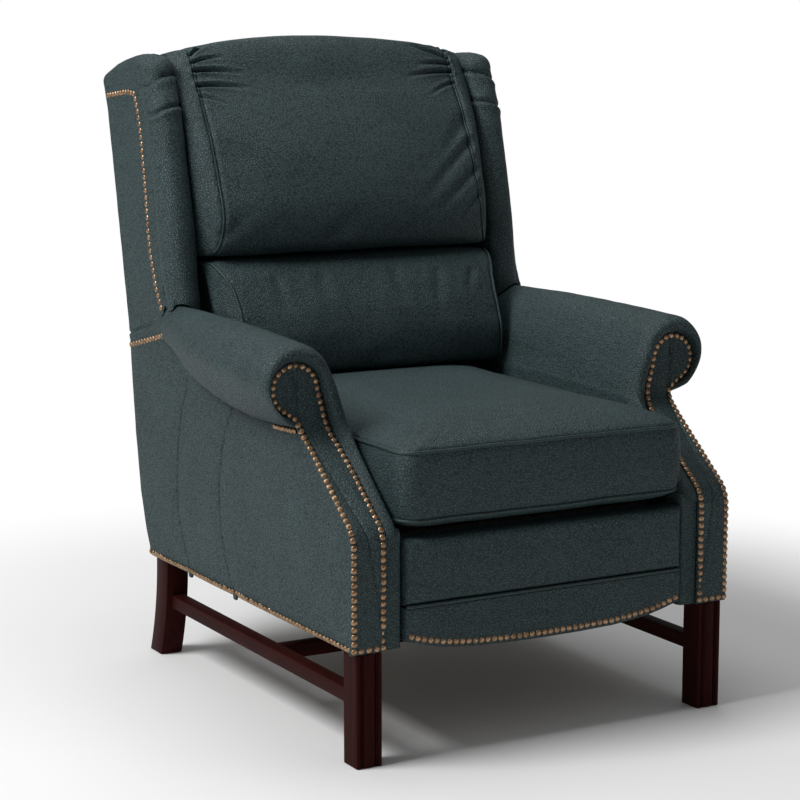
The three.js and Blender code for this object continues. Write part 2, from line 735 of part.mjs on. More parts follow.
function buildSeatCarriage() {
  const bottom = seatPlateTopZ - seatPlateHeight;
  const side = outline([
    [seatPlateFrontY, bottom + seatPlateChamfer], [seatPlateFrontY + seatPlateChamfer, bottom],
    [seatPlateRearY - seatPlateChamfer, bottom], [seatPlateRearY, bottom + seatPlateChamfer],
    [seatPlateRearY, seatPlateTopZ], [seatPlateFrontY, seatPlateTopZ],
  ]);
  bore(side, rearPivot, driveTube / 2 - driveTubeWall - touchGap, pivotPlay);
  const middle = seatPlateX + plateThickness / 2;
  placePair('seat_plate', join(
    sideExtrude(side, seatPlateX, seatPlateX + plateThickness),
    ...rivet(middle, middleLinkX + plateThickness + touchGap, frontPivot),
    ...studs.map((center) => pin(slideStud, middle, basePlateX + basePlateThickness - touchGap, center)),
  ), steel);

  const frontRailY = seatPlateFrontY + seatRailSetback;
  const rearRailEdge = seatPlateRearY - seatRailSetback - seatRailThickness;
  const rail = (y) => block(-carriageHalf, carriageHalf, y, y + seatRailThickness,
    seatPlateTopZ - seatRailHeight, seatPlateTopZ);
  place('seat_front_rail', rail(frontRailY), frameWood);
  place('seat_rear_rail', rail(rearRailEdge), frameWood);

  for (let n = 0; n < springCount; n += 1) {
    const x = (n - (springCount - 1) / 2) * springSpacing;
    place(`seat_spring_${n + 1}`,
      seatSpring(x, frontRailY + seatRailThickness / 2, rearRailEdge + seatRailThickness / 2), springSteel);
  }
  place('seat_deck',
    block(-carriageHalf, carriageHalf, frontRailY, rearRailEdge + seatRailThickness,
      deckTopZ - deckThickness, deckTopZ),
    decking);
}

// One wire that winds from side to side on its way from the front rail to the rear rail
function seatSpring(x, y0, y1) {
  const turns = Math.round((y1 - y0) / springPitch);
  const points = Array.from({ length: turns * 4 + 1 }, (_, i) => {
    const swing = springReach * Math.sin((i * Math.PI) / 2);
    return new THREE.Vector3(x + swing, mix(y0, y1, i / (turns * 4)), springTopZ - springWire / 2);
  });
  const section = outline(arcPoints([0, 0], springWire / 2, 0, Math.PI * 2, springSides).slice(1));
  return new THREE.ExtrudeGeometry(section, { steps: turns * 8, extrudePath: new THREE.CatmullRomCurve3(points) });
}

function buildBasePlates() {
  const top = deckTopZ - basePlateDrop;
  const rear = backHingeY + basePlateTail;
  const bottom = top - basePlateHeight;
  const plate = outline([[basePlateFrontY, bottom], [rear, bottom], [rear, top], [basePlateFrontY, top]]);
  studs.forEach((center) => slot(plate, center, slideStud, seatTravel));
  bore(plate, hinge, backHingePin, pivotPlay);
  placePair('base_plate', sideExtrude(plate, basePlateX, basePlateX + basePlateThickness), steel);
}

// The cushion: boxed sides between two seams, with a crown above and a smaller one below
function buildCushion() {
  const halfX = cushionWidth / 2;
  const halfY = cushionDepth / 2;
  const lowSeam = cushionBottomZ + cushionUndercrown;
  const highSeam = lowSeam + cushionBoxing;
  const crown = (seamZ, height) => Array.from({ length: crownSteps }, (_, i) => {
    const angle = ((i + 1) / crownSteps) * (Math.PI / 2);
    return [seamZ + height * Math.sin(angle), cushionDrawIn + halfX * cushionReachShare * (1 - Math.cos(angle))];
  });
  const layers = [
    ...crown(lowSeam, -cushionUndercrown).reverse(),
    [lowSeam, cushionDrawIn],
    [mix(lowSeam, highSeam, 0.2), 0],
    [mix(lowSeam, highSeam, 0.8), 0],
    [highSeam, cushionDrawIn],
    ...crown(highSeam, cushionCrown),
  ];
  const centerY = cushionFrontY + halfY;
  place('seat_cushion', loft(layers.map(([z, inset]) => (
    roundedRing(halfX - inset, halfY - inset, Math.min(cushionCorner + inset, halfX - inset))
      .map(([x, y]) => new THREE.Vector3(x, centerY + y, z))))), leather);
}

// Front of the inside back: upright behind the seat, then leaning back
function insideBackY(z) {
  const low = frameBottomZ + insideBackStraightRise;
  const high = frameBottomZ + insideBackTopRise;
  return insideBackFrontY + (insideBackLean * Math.max(0, z - low)) / (high - low);
}

function postRearY(z) {
  return rearEdgeY(z) - outsideBackThickness - touchGap;
}

// A level of the back: front and rear faces at height z, with the top edge arched by lift
function backRing(half, frontY, rearY, z, lift) {
  const across = [-1, -0.6, -0.2, 0.2, 0.6, 1];
  const height = (share) => z + lift * (1 - share * share);
  return [
    ...across.map((share) => new THREE.Vector3(half * share, frontY(height(share)), height(share))),
    ...across.reverse().map((share) => new THREE.Vector3(half * share, rearY(height(share)), height(share))),
  ];
}

function buildBackFrame() {
  const bottom = frameBottomZ + backPostRise;
  const top = frameBottomZ + backPostTopRise;
  const bar = (x0, x1, levels) => loft(levels.map((z) => {
    const rear = postRearY(z);
    return [[x0, rear - backPostDepth], [x1, rear - backPostDepth], [x1, rear], [x0, rear]]
      .map(([x, y]) => new THREE.Vector3(x, y, z));
  }));
  placePair('back_post', bar(postOuterX - backPostWidth, postOuterX, levelsBetween(bottom, top)), frameWood);
  const reach = postOuterX - backPostWidth - touchGap;
  place('back_bottom_rail', bar(-reach, reach, levelsBetween(bottom, bottom + backRailHeight)), frameWood);
  place('back_top_rail', bar(-reach, reach, levelsBetween(top - backRailHeight, top)), frameWood);

  // Hinge bracket on the outer face of each post
  const [low, high] = [legHeight + backBracketRise, legHeight + backBracketRise + backBracketHeight];
  const inner = (z) => postRearY(z) - backPostDepth + backBracketInset;
  const outer = (z) => postRearY(z) - backBracketInset;
  const ear = outline([
    ...arcPoints(hinge, backHingeEye, Math.PI / 2, (Math.PI * 3) / 2, arcSteps),
    [inner(low), low], [outer(low), low], [outer(high), high], [inner(high), high],
  ]);
  placePair('back_bracket', join(
    sideExtrude(ear, outerLinkX, outerLinkX + plateThickness),
    pin(backHingePin, outerLinkX + plateThickness / 2, basePlateX + basePlateThickness - touchGap, hinge),
  ), steel);
}

function buildBackPads() {
  // Outside back: between the arms below, over their full width above
  const shoulder = wingRearBottomZ + touchGap * 2;
  const bottom = frameBottomZ + outsideBackRise;
  const top = frameBottomZ + outsideBackTopRise;
  const postTop = frameBottomZ + backPostTopRise;
  const sheet = levelsBetween(bottom, top, [shoulder - touchGap, shoulder + touchGap, postTop]);
  place('outside_back', loft(sheet.map((z) => backRing(
    z < shoulder ? backHalf : armOuterX,
    (height) => rearEdgeY(height) - outsideBackThickness,
    rearEdgeY, z, z === top ? archRise : 0))), leather);

  // Inside back: narrow beside the hinge brackets, wide above the arms, and over the posts at the top
  const widths = [
    [legHeight + backBracketRise + backBracketHeight + backSideGap, backHalf - insideBackRelief],
    [legHeight + backBracketRise + backBracketHeight + backSideGap * 2, backHalf],
    [armRearTopZ + armRearSlope + insideBackShoulder, backHalf],
    [armRearTopZ + armRearSlope + insideBackShoulder * 1.5, pillowHalf],
  ];
  const padTop = frameBottomZ + insideBackTopRise;
  const bends = [...widths.map(([z]) => z), frameBottomZ + insideBackStraightRise, postTop, postTop + touchGap * 2];
  const pad = levelsBetween(frameBottomZ + insideBackRise, padTop, bends);
  place('inside_back', loft(pad.map((z) => backRing(
    along(widths, z), insideBackY,
    (height) => postRearY(height) - touchGap - (height > postTop + touchGap ? 0 : backPostDepth),
    z, z === padTop ? archRise : 0))), leather);
}

// Side view of a wing, drawn in from its front and top by inset
function wingRing(x, inset) {
  const rearTop = wingTopZ - wingTopFall;
  const frontBottom = rollTopZ + rollSwell + wingRollGap;
  const front = wingFrontShares.map(([up, back]) => (
    [wingFrontY + wingFrontLean * back + inset, mix(frontBottom, wingTopZ - inset, up)]));
  const [frontTopY] = front[front.length - 1];
  const rearTopY = postRearY(rearTop);
  const top = [0.35, 0.7].map((share) => [mix(frontTopY, rearTopY, share), wingTopZ - inset - wingTopFall * share ** 2]);
  const rear = levelsBetween(wingRearBottomZ, rearTop).reverse()
    .map((z) => Math.min(z, rearTop - inset))
    .map((z) => [postRearY(z), z]);
  const stepZ = armRearTopZ + armRearSlope + wingSwingGap * 1.5;
  const bottom = [[wingStepY + wingSwingGap / 4, stepZ], [wingStepY, stepZ], [wingStepY, frontBottom]];
  return [...front, ...top, ...rear, ...bottom].map(([y, z]) => new THREE.Vector3(x, y, z));
}

function buildWings() {
  placePair('wing', loft(wingRoundShares.map(([across, inset]) => (
    wingRing(mix(wingInnerX, armOuterX, across), wingRound * inset)))), leather);
}

// A pillow that lies on the inside back, with a seam down each side of its front
function pillow(size) {
  return loft(pillowWidthShares.map((share) => {
    const x = share * size.half;
    const seam = size.half - size.seamInset;
    const past = Math.max(0, Math.abs(x) - seam) / size.seamInset;
    const top = size.top - size.arch * share * share;
    const front = size.frontShares.map(([up, back]) => {
      const swell = size.crown * Math.max(0, 1 - (x / seam) ** 2) * Math.sin(Math.PI * up);
      const tuck = size.gusset * past * along(gussetShares, up);
      return new THREE.Vector3(x, size.frontY + size.lean * back - swell + tuck, mix(size.bottom, top, up));
    });
    const back = size.backShares.map((up) => {
      const z = mix(size.bottom, top, up);
      return new THREE.Vector3(x, insideBackY(z) - touchGap, z);
    });
    return [...front, ...back];
  }));
}

function buildPillows() {
  const headBottom = frameBottomZ + pillowBottomRise;
  place('headrest_pillow', pillow({
    half: pillowHalf,
    seamInset: pillowSeamInset,
    bottom: headBottom,
    top: frameBottomZ + backRise,
    arch: archRise,
    frontY: pillowFrontY,
    lean: pillowLean,
    crown: pillowCrown,
    gusset: pillowGusset,
    frontShares: pillowFrontShares,
    backShares: pillowBackShares,
  }), leather);
  place('lumbar_pillow', pillow({
    half: backHalf,
    seamInset: lumbarSeamInset,
    bottom: cushionTopZ + lumbarLift,
    top: headBottom - pillowGap,
    arch: 0,
    frontY: lumbarFrontY,
    lean: lumbarLean,
    crown: lumbarCrown,
    gusset: lumbarGusset,
    frontShares: lumbarFrontShares,
    backShares: lumbarBackShares,
  }), leather);
}

buildLegs();
buildStretchers();
buildRails();
buildArms();
buildBasePlates();
buildSeatCarriage();
buildCushion();
buildDrive();
buildLinks();
buildFootrestBracket();
buildFootrest();
buildBackFrame();
buildBackPads();
buildWings();
buildPillows();

// The origin lies on the floor, midway between the front and the back
const box = new THREE.Box3().setFromObject(chair);
chair.position.y = -(box.min.y + box.max.y) / 2;

export default chair;
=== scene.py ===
"""High-leg wingback recliner: the upholstery, wood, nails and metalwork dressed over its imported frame.

The arms, wings and pillows are skins of blue-green pebbled leather, finished with rows of brass nails. Each
sub-assembly is a class that holds its sizes in millimetres, and main() builds them in order.
"""

import json
import logging
import math
from dataclasses import dataclass, field
from enum import Enum
from typing import Callable, Sequence

import bmesh
import bpy
import numpy as np
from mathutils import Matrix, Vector, kdtree, noise


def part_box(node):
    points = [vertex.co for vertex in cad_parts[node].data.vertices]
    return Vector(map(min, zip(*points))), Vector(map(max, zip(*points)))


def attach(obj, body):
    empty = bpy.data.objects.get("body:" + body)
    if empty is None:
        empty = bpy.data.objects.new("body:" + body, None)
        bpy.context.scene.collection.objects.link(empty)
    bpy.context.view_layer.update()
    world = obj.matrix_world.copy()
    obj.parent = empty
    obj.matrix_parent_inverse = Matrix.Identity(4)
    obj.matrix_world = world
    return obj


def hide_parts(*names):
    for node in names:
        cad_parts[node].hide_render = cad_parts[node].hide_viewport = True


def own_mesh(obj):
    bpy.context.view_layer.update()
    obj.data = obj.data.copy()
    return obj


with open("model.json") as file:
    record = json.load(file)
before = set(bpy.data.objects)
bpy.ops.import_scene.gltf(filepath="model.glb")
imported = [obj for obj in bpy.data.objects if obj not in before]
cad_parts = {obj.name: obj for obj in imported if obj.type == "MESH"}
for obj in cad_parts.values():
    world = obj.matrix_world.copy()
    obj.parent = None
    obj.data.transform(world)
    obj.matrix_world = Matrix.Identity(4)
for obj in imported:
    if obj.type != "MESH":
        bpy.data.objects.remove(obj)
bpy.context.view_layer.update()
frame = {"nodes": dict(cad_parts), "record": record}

MM = 0.001
FRONT_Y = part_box("front_leg_right")[0].y / MM
LOG = logging.getLogger("recliner")

Array = np.ndarray
Piece = bpy.types.Object
Tree = bpy.types.NodeTree
Node = bpy.types.Node
Socket = bpy.types.NodeSocket


class Side(Enum):
    """The two mirrored halves of the chair, with the sign of x on each."""

    RIGHT = 1
    LEFT = -1

    @property
    def word(self) -> str:
        """The name used at the end of a piece's name."""
        return self.name.lower()


class Body(Enum):
    """The moving bodies of the frame."""

    BASE = "base"
    SEAT = "seat"
    BACK = "back"
    FOOTREST = "footrest"


# Plain geometry


def read(pairs: Sequence[tuple[float, float]], at: float | Array) -> float | Array:
    """Reads a table of (place, value) pairs by straight lines, at one place or many."""
    return np.interp(at, [p[0] for p in pairs], [p[1] for p in pairs])


def spline(points: Sequence[Sequence[float]], count: int) -> Array:
    """Draws a smooth curve through points and spaces it evenly.

    Args:
        points: the places that the curve goes through.
        count: how many points to return.

    Returns:
        An array of count points, evenly spaced along the curve.
    """
    pts = np.asarray(points, float)
    pts = np.vstack([2 * pts[0] - pts[1], pts, 2 * pts[-1] - pts[-2]])
    gaps = np.maximum(np.linalg.norm(np.diff(pts, axis=0), axis=1), 1e-6) ** 0.5
    dense = []
    for i in range(1, len(pts) - 2):
        p0, p1, p2, p3 = pts[i - 1:i + 3]
        a, b, c = gaps[i - 1:i + 2]
        m1 = (p1 - p0) / a - (p2 - p0) / (a + b) + (p2 - p1) / b
        m2 = (p2 - p1) / b - (p3 - p1) / (b + c) + (p3 - p2) / c
        t = np.linspace(0, 1, 24, endpoint=False)[:, None]
        h = (2 * t**3 - 3 * t**2 + 1, t**3 - 2 * t**2 + t, -2 * t**3 + 3 * t**2, t**3 - t**2)
        dense.append(h[0] * p1 + h[1] * m1 * b + h[2] * p2 + h[3] * m2 * b)
    dense.append(pts[-2][None])
    return respace(np.vstack(dense), count)


def respace(line: Array, count: int) -> Array:
    """Spaces a polyline's points evenly.

    Args:
        line: the points of the polyline.
        count: how many points to return.

    Returns:
        An array of count points on the polyline.
    """
    steps = np.linalg.norm(np.diff(line, axis=0), axis=1)
    reach = np.concatenate([[0], np.cumsum(steps)])
    at = np.linspace(0, reach[-1], count)
    return np.stack([np.interp(at, reach, line[:, k]) for k in range(line.shape[1])], axis=1)


def span(line: Array) -> float:
    """The length of a polyline."""
    return float(np.linalg.norm(np.diff(line, axis=0), axis=1).sum())


def coons(low: Array, high: Array, start: Array, end: Array) -> Array:
    """Fills four edges with a smooth grid.

    Args:
        low: the lower edge, from start to end.
        high: the upper edge, from start to end.
        start: the first side edge, from low to high.
        end: the last side edge, from low to high.

    Returns:
        A grid of points with a row for each point of the side edges.
    """
    u = np.linspace(0, 1, len(low))[None, :, None]
    v = np.linspace(0, 1, len(start))[:, None, None]
    ruled = (1 - v) * low[None] + v * high[None] + (1 - u) * start[:, None] + u * end[:, None]
    corners = ((1 - u) * (1 - v) * low[0] + u * (1 - v) * low[-1]
               + (1 - u) * v * high[0] + u * v * high[-1])
    return ruled - corners


def rounded(distance: Array, radius: float) -> Array:
    """How far a face falls away at a round edge, from the distance of each point to the edge."""
    near = np.clip(1 - distance / radius, 0, 1)
    return radius * (1 - np.sqrt(1 - near**2))


def ripple(points: Array, scale: float, seed: float) -> Array:
    """Smooth noise over points.

    Args:
        points: places in millimetres.
        scale: the size of one swell in millimetres.
        seed: shifts the pattern.

    Returns:
        A value of about -1 to 1 for each point.
    """
    flat = points.reshape(-1, 3)
    shift = Vector((seed * 7.3, seed * 3.1, seed * 5.7))
    values = [noise.noise(Vector(p) / scale + shift) for p in flat]
    return np.array(values).reshape(points.shape[:-1])


def grid_normals(grid: Array) -> Array:
    """Unit normals of a grid of points, by central differences.

    Args:
        grid: rows and columns of points.

    Returns:
        A unit vector for each point.
    """
    du = np.gradient(grid, axis=1)
    dv = np.gradient(grid, axis=0)
    normal = np.cross(du, dv)
    return normal / np.maximum(np.linalg.norm(normal, axis=-1, keepdims=True), 1e-9)


def normals_out(grid: Array, away: Array) -> Array:
    """Unit normals of a grid, on the side that the vectors in away point to."""
    normal = grid_normals(grid)
    return -normal if (normal * away).sum() < 0 else normal


def grid_faces(rows: int, columns: int, wrap: bool, start: int = 0) -> list[tuple[int, ...]]:
    """Quads of a grid.

    Args:
        rows: how many rows it has.
        columns: how many points a row has.
        wrap: True if each row closes on itself.
        start: the index of the grid's first point.

    Returns:
        The corner indices of each quad.
    """
    ends = columns if wrap else columns - 1
    faces = []
    for r in range(rows - 1):
        for c in range(ends):
            a, b = start + r * columns + c, start + r * columns + (c + 1) % columns
            faces.append((a, b, b + columns, a + columns))
    return faces


# Objects


def link(piece: Piece) -> None:
    """Puts an object in the scene."""
    bpy.context.scene.collection.objects.link(piece)


def to_object(name: str, points: Array, faces: Sequence[Sequence[int]], side: Side = Side.RIGHT,
              sharp: float = 60.0) -> Piece:
    """Makes a mesh object from points in millimetres.

    Args:
        name: the piece's name.
        points: its points, with y measured from the front of the legs.
        faces: its faces.
        side: LEFT mirrors it.
        sharp: the angle in degrees past which an edge stays sharp.

    Returns:
        The new object, at the origin, with its faces turned outwards.
    """
    place = np.asarray(points, float).reshape(-1, 3).copy()
    place[:, 0] *= side.value
    place[:, 1] += FRONT_Y
    mesh = bpy.data.meshes.new(name)
    mesh.from_pydata((place * MM).tolist(), [], [tuple(f) for f in faces])
    work = bmesh.new()
    work.from_mesh(mesh)
    bmesh.ops.remove_doubles(work, verts=work.verts, dist=2e-5)
    bmesh.ops.recalc_face_normals(work, faces=work.faces)
    work.to_mesh(mesh)
    work.free()
    piece = bpy.data.objects.new(name, mesh)
    link(piece)
    mesh.shade_smooth()
    mesh.set_sharp_from_angle(angle=math.radians(sharp))
    return piece


def bake(piece: Piece) -> None:
    """Puts the result of a piece's modifiers in their place.

    Args:
        piece: the object.
    """
    mesh = bpy.data.meshes.new_from_object(piece.evaluated_get(bpy.context.evaluated_depsgraph_get()))
    piece.modifiers.clear()
    piece.data = mesh


def dress(piece: Piece, body: Body, finish: "Finish", replaces: Sequence[str] = ()) -> None:
    """Gives a piece its material, its body and the nodes it stands for.

    Args:
        piece: the object.
        body: the body that it rides on.
        finish: what it is made of.
        replaces: the frame's nodes that it hides.
    """
    piece.data.materials.clear()
    piece.data.materials.append(finish.material())
    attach(piece, body.value)
    if replaces:
        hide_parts(*replaces)
    LOG.info("%s: %d faces on %s", piece.name, len(piece.data.polygons), body.value)


def close_ring(points: list[Array], faces: list[tuple[int, ...]], ring: Sequence[int], rows: int = 1) -> None:
    """Closes a hole with rings that shrink to a middle point.

    Args:
        points: the object's points, which grows.
        faces: the object's faces, which grows.
        ring: the indices round the hole.
        rows: how many rings to lay inside it.
    """
    rim = np.array([points[i] for i in ring])
    middle = rim.mean(axis=0)
    before = list(ring)
    for row in range(1, rows):
        start = len(points)
        points.extend(rim + (middle - rim) * row / rows)
        now = list(range(start, start + len(ring)))
        faces.extend((before[i], before[(i + 1) % len(ring)], now[(i + 1) % len(ring)], now[i])
                     for i in range(len(ring)))
        before = now
    points.append(middle)
    faces.extend((before[i], before[(i + 1) % len(ring)], len(points) - 1) for i in range(len(ring)))


def shell(name: str, rings: Array, side: Side = Side.RIGHT, cap_rows: int = 3, sharp: float = 60.0) -> Piece:
    """Skins a stack of closed rings and closes both ends.

    Args:
        name: the piece's name.
        rings: an array of rings by points by 3.
        side: LEFT mirrors it.
        cap_rows: how many rings each end has.
        sharp: the angle past which an edge stays sharp.

    Returns:
        The closed object.
    """
    count, columns = rings.shape[:2]
    points = list(rings.reshape(-1, 3))
    faces = grid_faces(count, columns, True)
    close_ring(points, faces, range(columns), cap_rows)
    close_ring(points, faces, range((count - 1) * columns, count * columns), cap_rows)
    return to_object(name, np.array(points), faces, side, sharp=sharp)


def slab(name: str, outer: Array, inner: Array, side: Side = Side.RIGHT) -> Piece:
    """Closes two grids of the same size into one padded panel.

    Args:
        name: the piece's name.
        outer: the face that shows.
        inner: the face behind it.
        side: LEFT mirrors it.

    Returns:
        The closed object.
    """
    rows, columns = outer.shape[:2]
    total = rows * columns
    faces = grid_faces(rows, columns, False) + grid_faces(rows, columns, False, total)
    rim = (list(range(columns)) + [r * columns + columns - 1 for r in range(1, rows)]
           + [(rows - 1) * columns + c for c in range(columns - 2, -1, -1)]
           + [r * columns for r in range(rows - 2, 0, -1)])
    faces += [(a, b, b + total, a + total) for a, b in zip(rim, rim[1:] + rim[:1])]
    return to_object(name, np.vstack([outer.reshape(-1, 3), inner.reshape(-1, 3)]), faces, side)


# Materials


def linear(code: str) -> tuple[float, float, float, float]:
    """Turns an sRGB hex value into a linear colour."""
    parts = [int(code[i:i + 2], 16) / 255 for i in (1, 3, 5)]
    return (*[p / 12.92 if p <= 0.04045 else ((p + 0.055) / 1.055) ** 2.4 for p in parts], 1.0)


@dataclass
class Nodes:
    """A node tree and short ways to add to it. An input is a value, or the socket to link from."""

    tree: Tree

    def fill(self, node: Node, inputs: dict) -> None:
        """Sets or links the inputs of a node.

        Args:
            node: the node.
            inputs: its inputs, by name or number.
        """
        for key, value in inputs.items():
            if isinstance(value, Socket):
                self.tree.links.new(value, node.inputs[key])
            else:
                node.inputs[key].default_value = value

    def add(self, kind: str, inputs: dict | None = None, **settings: object) -> Node:
        """Adds a node.

        Args:
            kind: the node's type.
            inputs: its inputs, by name or number.
            settings: the node's own settings.

        Returns:
            The new node.
        """
        node = self.tree.nodes.new(kind)
        for key, value in settings.items():
            setattr(node, key, value)
        self.fill(node, inputs or {})
        return node

    def math(self, operation: str, *values: Socket | float) -> Socket:
        """Adds a Math node and gives its result."""
        return self.add("ShaderNodeMath", dict(enumerate(values)), operation=operation).outputs[0]

    def noise(self, place: Socket, size: float, detail: float, **more: float) -> Node:
        """Adds noise whose lumps are size millimetres wide."""
        return self.add("ShaderNodeTexNoise", {"Vector": place, "Scale": 1 / (size * MM), "Detail": detail, **more})

    def spread(self, value: Socket, *ends: float, **settings: str) -> Socket:
        """Maps a value from the first two ends to the last two, if given, or to 0 and 1."""
        return self.add("ShaderNodeMapRange", dict(enumerate((value, *ends))), **settings).outputs[0]

    def bump(self, height: Socket, strength: float, relief: float) -> Socket:
        """Adds a bump of relief millimetres and gives its normal."""
        return self.add("ShaderNodeBump", {"Strength": strength, "Distance": relief * MM, "Height": height}).outputs[0]


@dataclass(frozen=True)
class Finish:
    """A material: its record slot, its name and what the shader needs."""

    slot: str
    name: str
    color: str
    shade: str
    roughness: float = 0.5
    metallic: float = 0.0
    ior: float = 1.5

    def material(self) -> bpy.types.Material:
        """Finds or builds the material.

        Returns:
            The material, which all pieces of this finish share.
        """
        found = bpy.data.materials.get(self.name)
        if found:
            return found
        made = bpy.data.materials.new(self.name)
        made.use_nodes = True
        made.node_tree.nodes.clear()
        nodes = Nodes(made.node_tree)
        shader = nodes.add("ShaderNodeBsdfPrincipled",
                           {"Roughness": self.roughness, "Metallic": self.metallic, "IOR": self.ior})
        nodes.add("ShaderNodeOutputMaterial", {0: shader.outputs[0]})
        nodes.fill(shader, self.pattern(nodes, nodes.add("ShaderNodeTexCoord").outputs["Object"]))
        return made

    def pattern(self, nodes: Nodes, place: Socket) -> dict:
        """The shader's inputs that the surface varies, for the Object coordinates in place."""
        raise NotImplementedError

    def blend(self, nodes: Nodes, factor: Socket, low: float, high: float) -> Socket:
        """Mixes the two colours, from all shade where the factor is low to all colour where it is high."""
        return nodes.add("ShaderNodeMix", {"Factor": nodes.spread(factor, low, high), 6: linear(self.shade),
                                           7: linear(self.color)}, data_type="RGBA").outputs[2]


@dataclass(frozen=True)
class PebbledLeather(Finish):
    """Drum-dyed cowhide, pressed with a pebble grain: soft gloss on each pebble, dark valleys between.

    The pebbles are drawn at 4.2 mm, about twice as coarse as real grain, so that they show in the render.
    """

    pebble: float = 4.2
    relief: float = 0.78

    def pattern(self, nodes: Nodes, place: Socket) -> dict:
        """Pebbles with creases, cloudy dye and a little polish on the high spots.

        Args:
            nodes: the material's nodes.
            place: the Object coordinates.

        Returns:
            The shader's inputs that vary.
        """
        warp = nodes.noise(place, self.pebble * 3, 2.0).outputs["Color"]
        bend = nodes.add("ShaderNodeVectorMath", {0: warp, "Scale": self.pebble * MM * 0.9}, operation="SCALE")
        moved = nodes.add("ShaderNodeVectorMath", {0: place, 1: bend.outputs[0]}, operation="ADD")
        cells = nodes.add("ShaderNodeTexVoronoi", {"Vector": moved.outputs[0], "Scale": 1 / (self.pebble * MM)},
                          feature="DISTANCE_TO_EDGE")
        dome = nodes.spread(cells.outputs["Distance"], 0.0, 0.32, interpolation_type="SMOOTHSTEP")
        swell = nodes.noise(place, self.pebble * 2.1, 3.0, Roughness=0.6).outputs["Fac"]
        cloud = nodes.noise(place, 95, 3.0, Roughness=0.5).outputs["Fac"]
        mottle = nodes.math("MULTIPLY_ADD", swell, 0.8, cloud)
        lift = nodes.math("MULTIPLY_ADD", dome, 2.6, mottle)
        return {"Base Color": self.blend(nodes, lift, 0.9, 3.6),
                "Roughness": nodes.spread(dome, 0.0, 1.0, self.roughness + 0.12, self.roughness - 0.03),
                "Normal": nodes.bump(nodes.math("MULTIPLY_ADD", swell, 1.3, dome), 0.8, self.relief),
                "Specular IOR Level": 0.42}


@dataclass(frozen=True)
class Wood(Finish):
    """Sawn and planed wood, stained or raw: long pores along one axis, slow bands of tone and a low satin gloss."""

    along: int = 2
    grain: float = 2.2
    gloss: float = 0.25

    def pattern(self, nodes: Nodes, place: Socket) -> dict:
        """Bands and pores stretched along the grain.

        Args:
            nodes: the material's nodes.
            place: the Object coordinates.

        Returns:
            The shader's inputs that vary.
        """
        squeeze = [1.0, 1.0, 1.0]
        squeeze[self.along] = 0.06
        run = nodes.add("ShaderNodeMapping", {"Vector": place, "Scale": squeeze}).outputs[0]
        bands = nodes.noise(run, 9, 5.0, Distortion=0.6).outputs["Fac"]
        pores = nodes.noise(run, self.grain, 2.0).outputs["Fac"]
        return {"Base Color": self.blend(nodes, nodes.math("MULTIPLY_ADD", pores, 0.35, bands), 0.4, 0.95),
                "Normal": nodes.bump(pores, 0.25, 0.15), "Specular IOR Level": self.gloss}


@dataclass(frozen=True)
class WornMetal(Finish):
    """Stamped or drawn metal: fine scratches, with tarnish or paint that is dull in patches."""

    patch: float = 6.0

    def pattern(self, nodes: Nodes, place: Socket) -> dict:
        """Patches of two tones, with a rougher surface in the darker ones.

        Args:
            nodes: the material's nodes.
            place: the Object coordinates.

        Returns:
            The shader's inputs that vary.
        """
        cloud = nodes.noise(place, self.patch, 4.0).outputs["Fac"]
        return {"Base Color": self.blend(nodes, cloud, 0.35, 0.65),
                "Roughness": nodes.spread(cloud, 0.0, 1.0, self.roughness + 0.15, self.roughness - 0.08),
                "Normal": nodes.bump(cloud, 0.2, 0.1)}


@dataclass(frozen=True)
class WovenCloth(Finish):
    """Plain woven polypropylene: flat tapes over and under each other, at 2 mm."""

    thread: float = 2.0

    def pattern(self, nodes: Nodes, place: Socket) -> dict:
        """Two sets of ridges at right angles.

        Args:
            nodes: the material's nodes.
            place: the Object coordinates.

        Returns:
            The shader's inputs that vary.
        """
        waves = [nodes.add("ShaderNodeTexWave", {"Vector": place, "Scale": 1 / (self.thread * 6.28 * MM)},
                           bands_direction=axis).outputs["Fac"] for axis in ("X", "Y")]
        weave = nodes.math("MULTIPLY", *waves)
        return {"Base Color": self.blend(nodes, weave, 0.0, 0.8), "Normal": nodes.bump(weave, 0.5, 0.3)}


LEATHER = PebbledLeather("leather", "pebbled_leather", "#3a4e50", "#182729", 0.56, ior=1.48)
PIPING = PebbledLeather("leather", "pebbled_leather_piping", "#344849", "#1b2b2c", 0.5, ior=1.48, relief=0.3)
MAHOGANY = Wood("mahogany", "stained_mahogany", "#35120f", "#210b0a", 0.47, gloss=0.035)
MAHOGANY_RAIL = Wood("mahogany", "stained_mahogany_rail", "#35120f", "#210b0a", 0.47, along=1, gloss=0.035)
MAHOGANY_CROSS = Wood("mahogany", "stained_mahogany_cross", "#35120f", "#210b0a", 0.47, along=0, gloss=0.035)
POPLAR = Wood("frame_wood", "raw_poplar", "#b79d78", "#9a8058", 0.75, along=0, grain=3.0)
BRASS = WornMetal("", "antique_brass", "#b49475", "#7c644e", 0.42, 1.0)
BLACK_STEEL = WornMetal("black_steel", "black_enamelled_steel", "#2c2d2f", "#1b1c1d", 0.42, 0.0, patch=18.0)
SPRING_STEEL = WornMetal("spring_steel", "oiled_spring_steel", "#7d8082", "#4c4e50", 0.3, 1.0)
DECKING = WovenCloth("decking", "woven_decking", "#2a2b2c", "#131314", 0.85)


# Shared curves of the chair, in side view


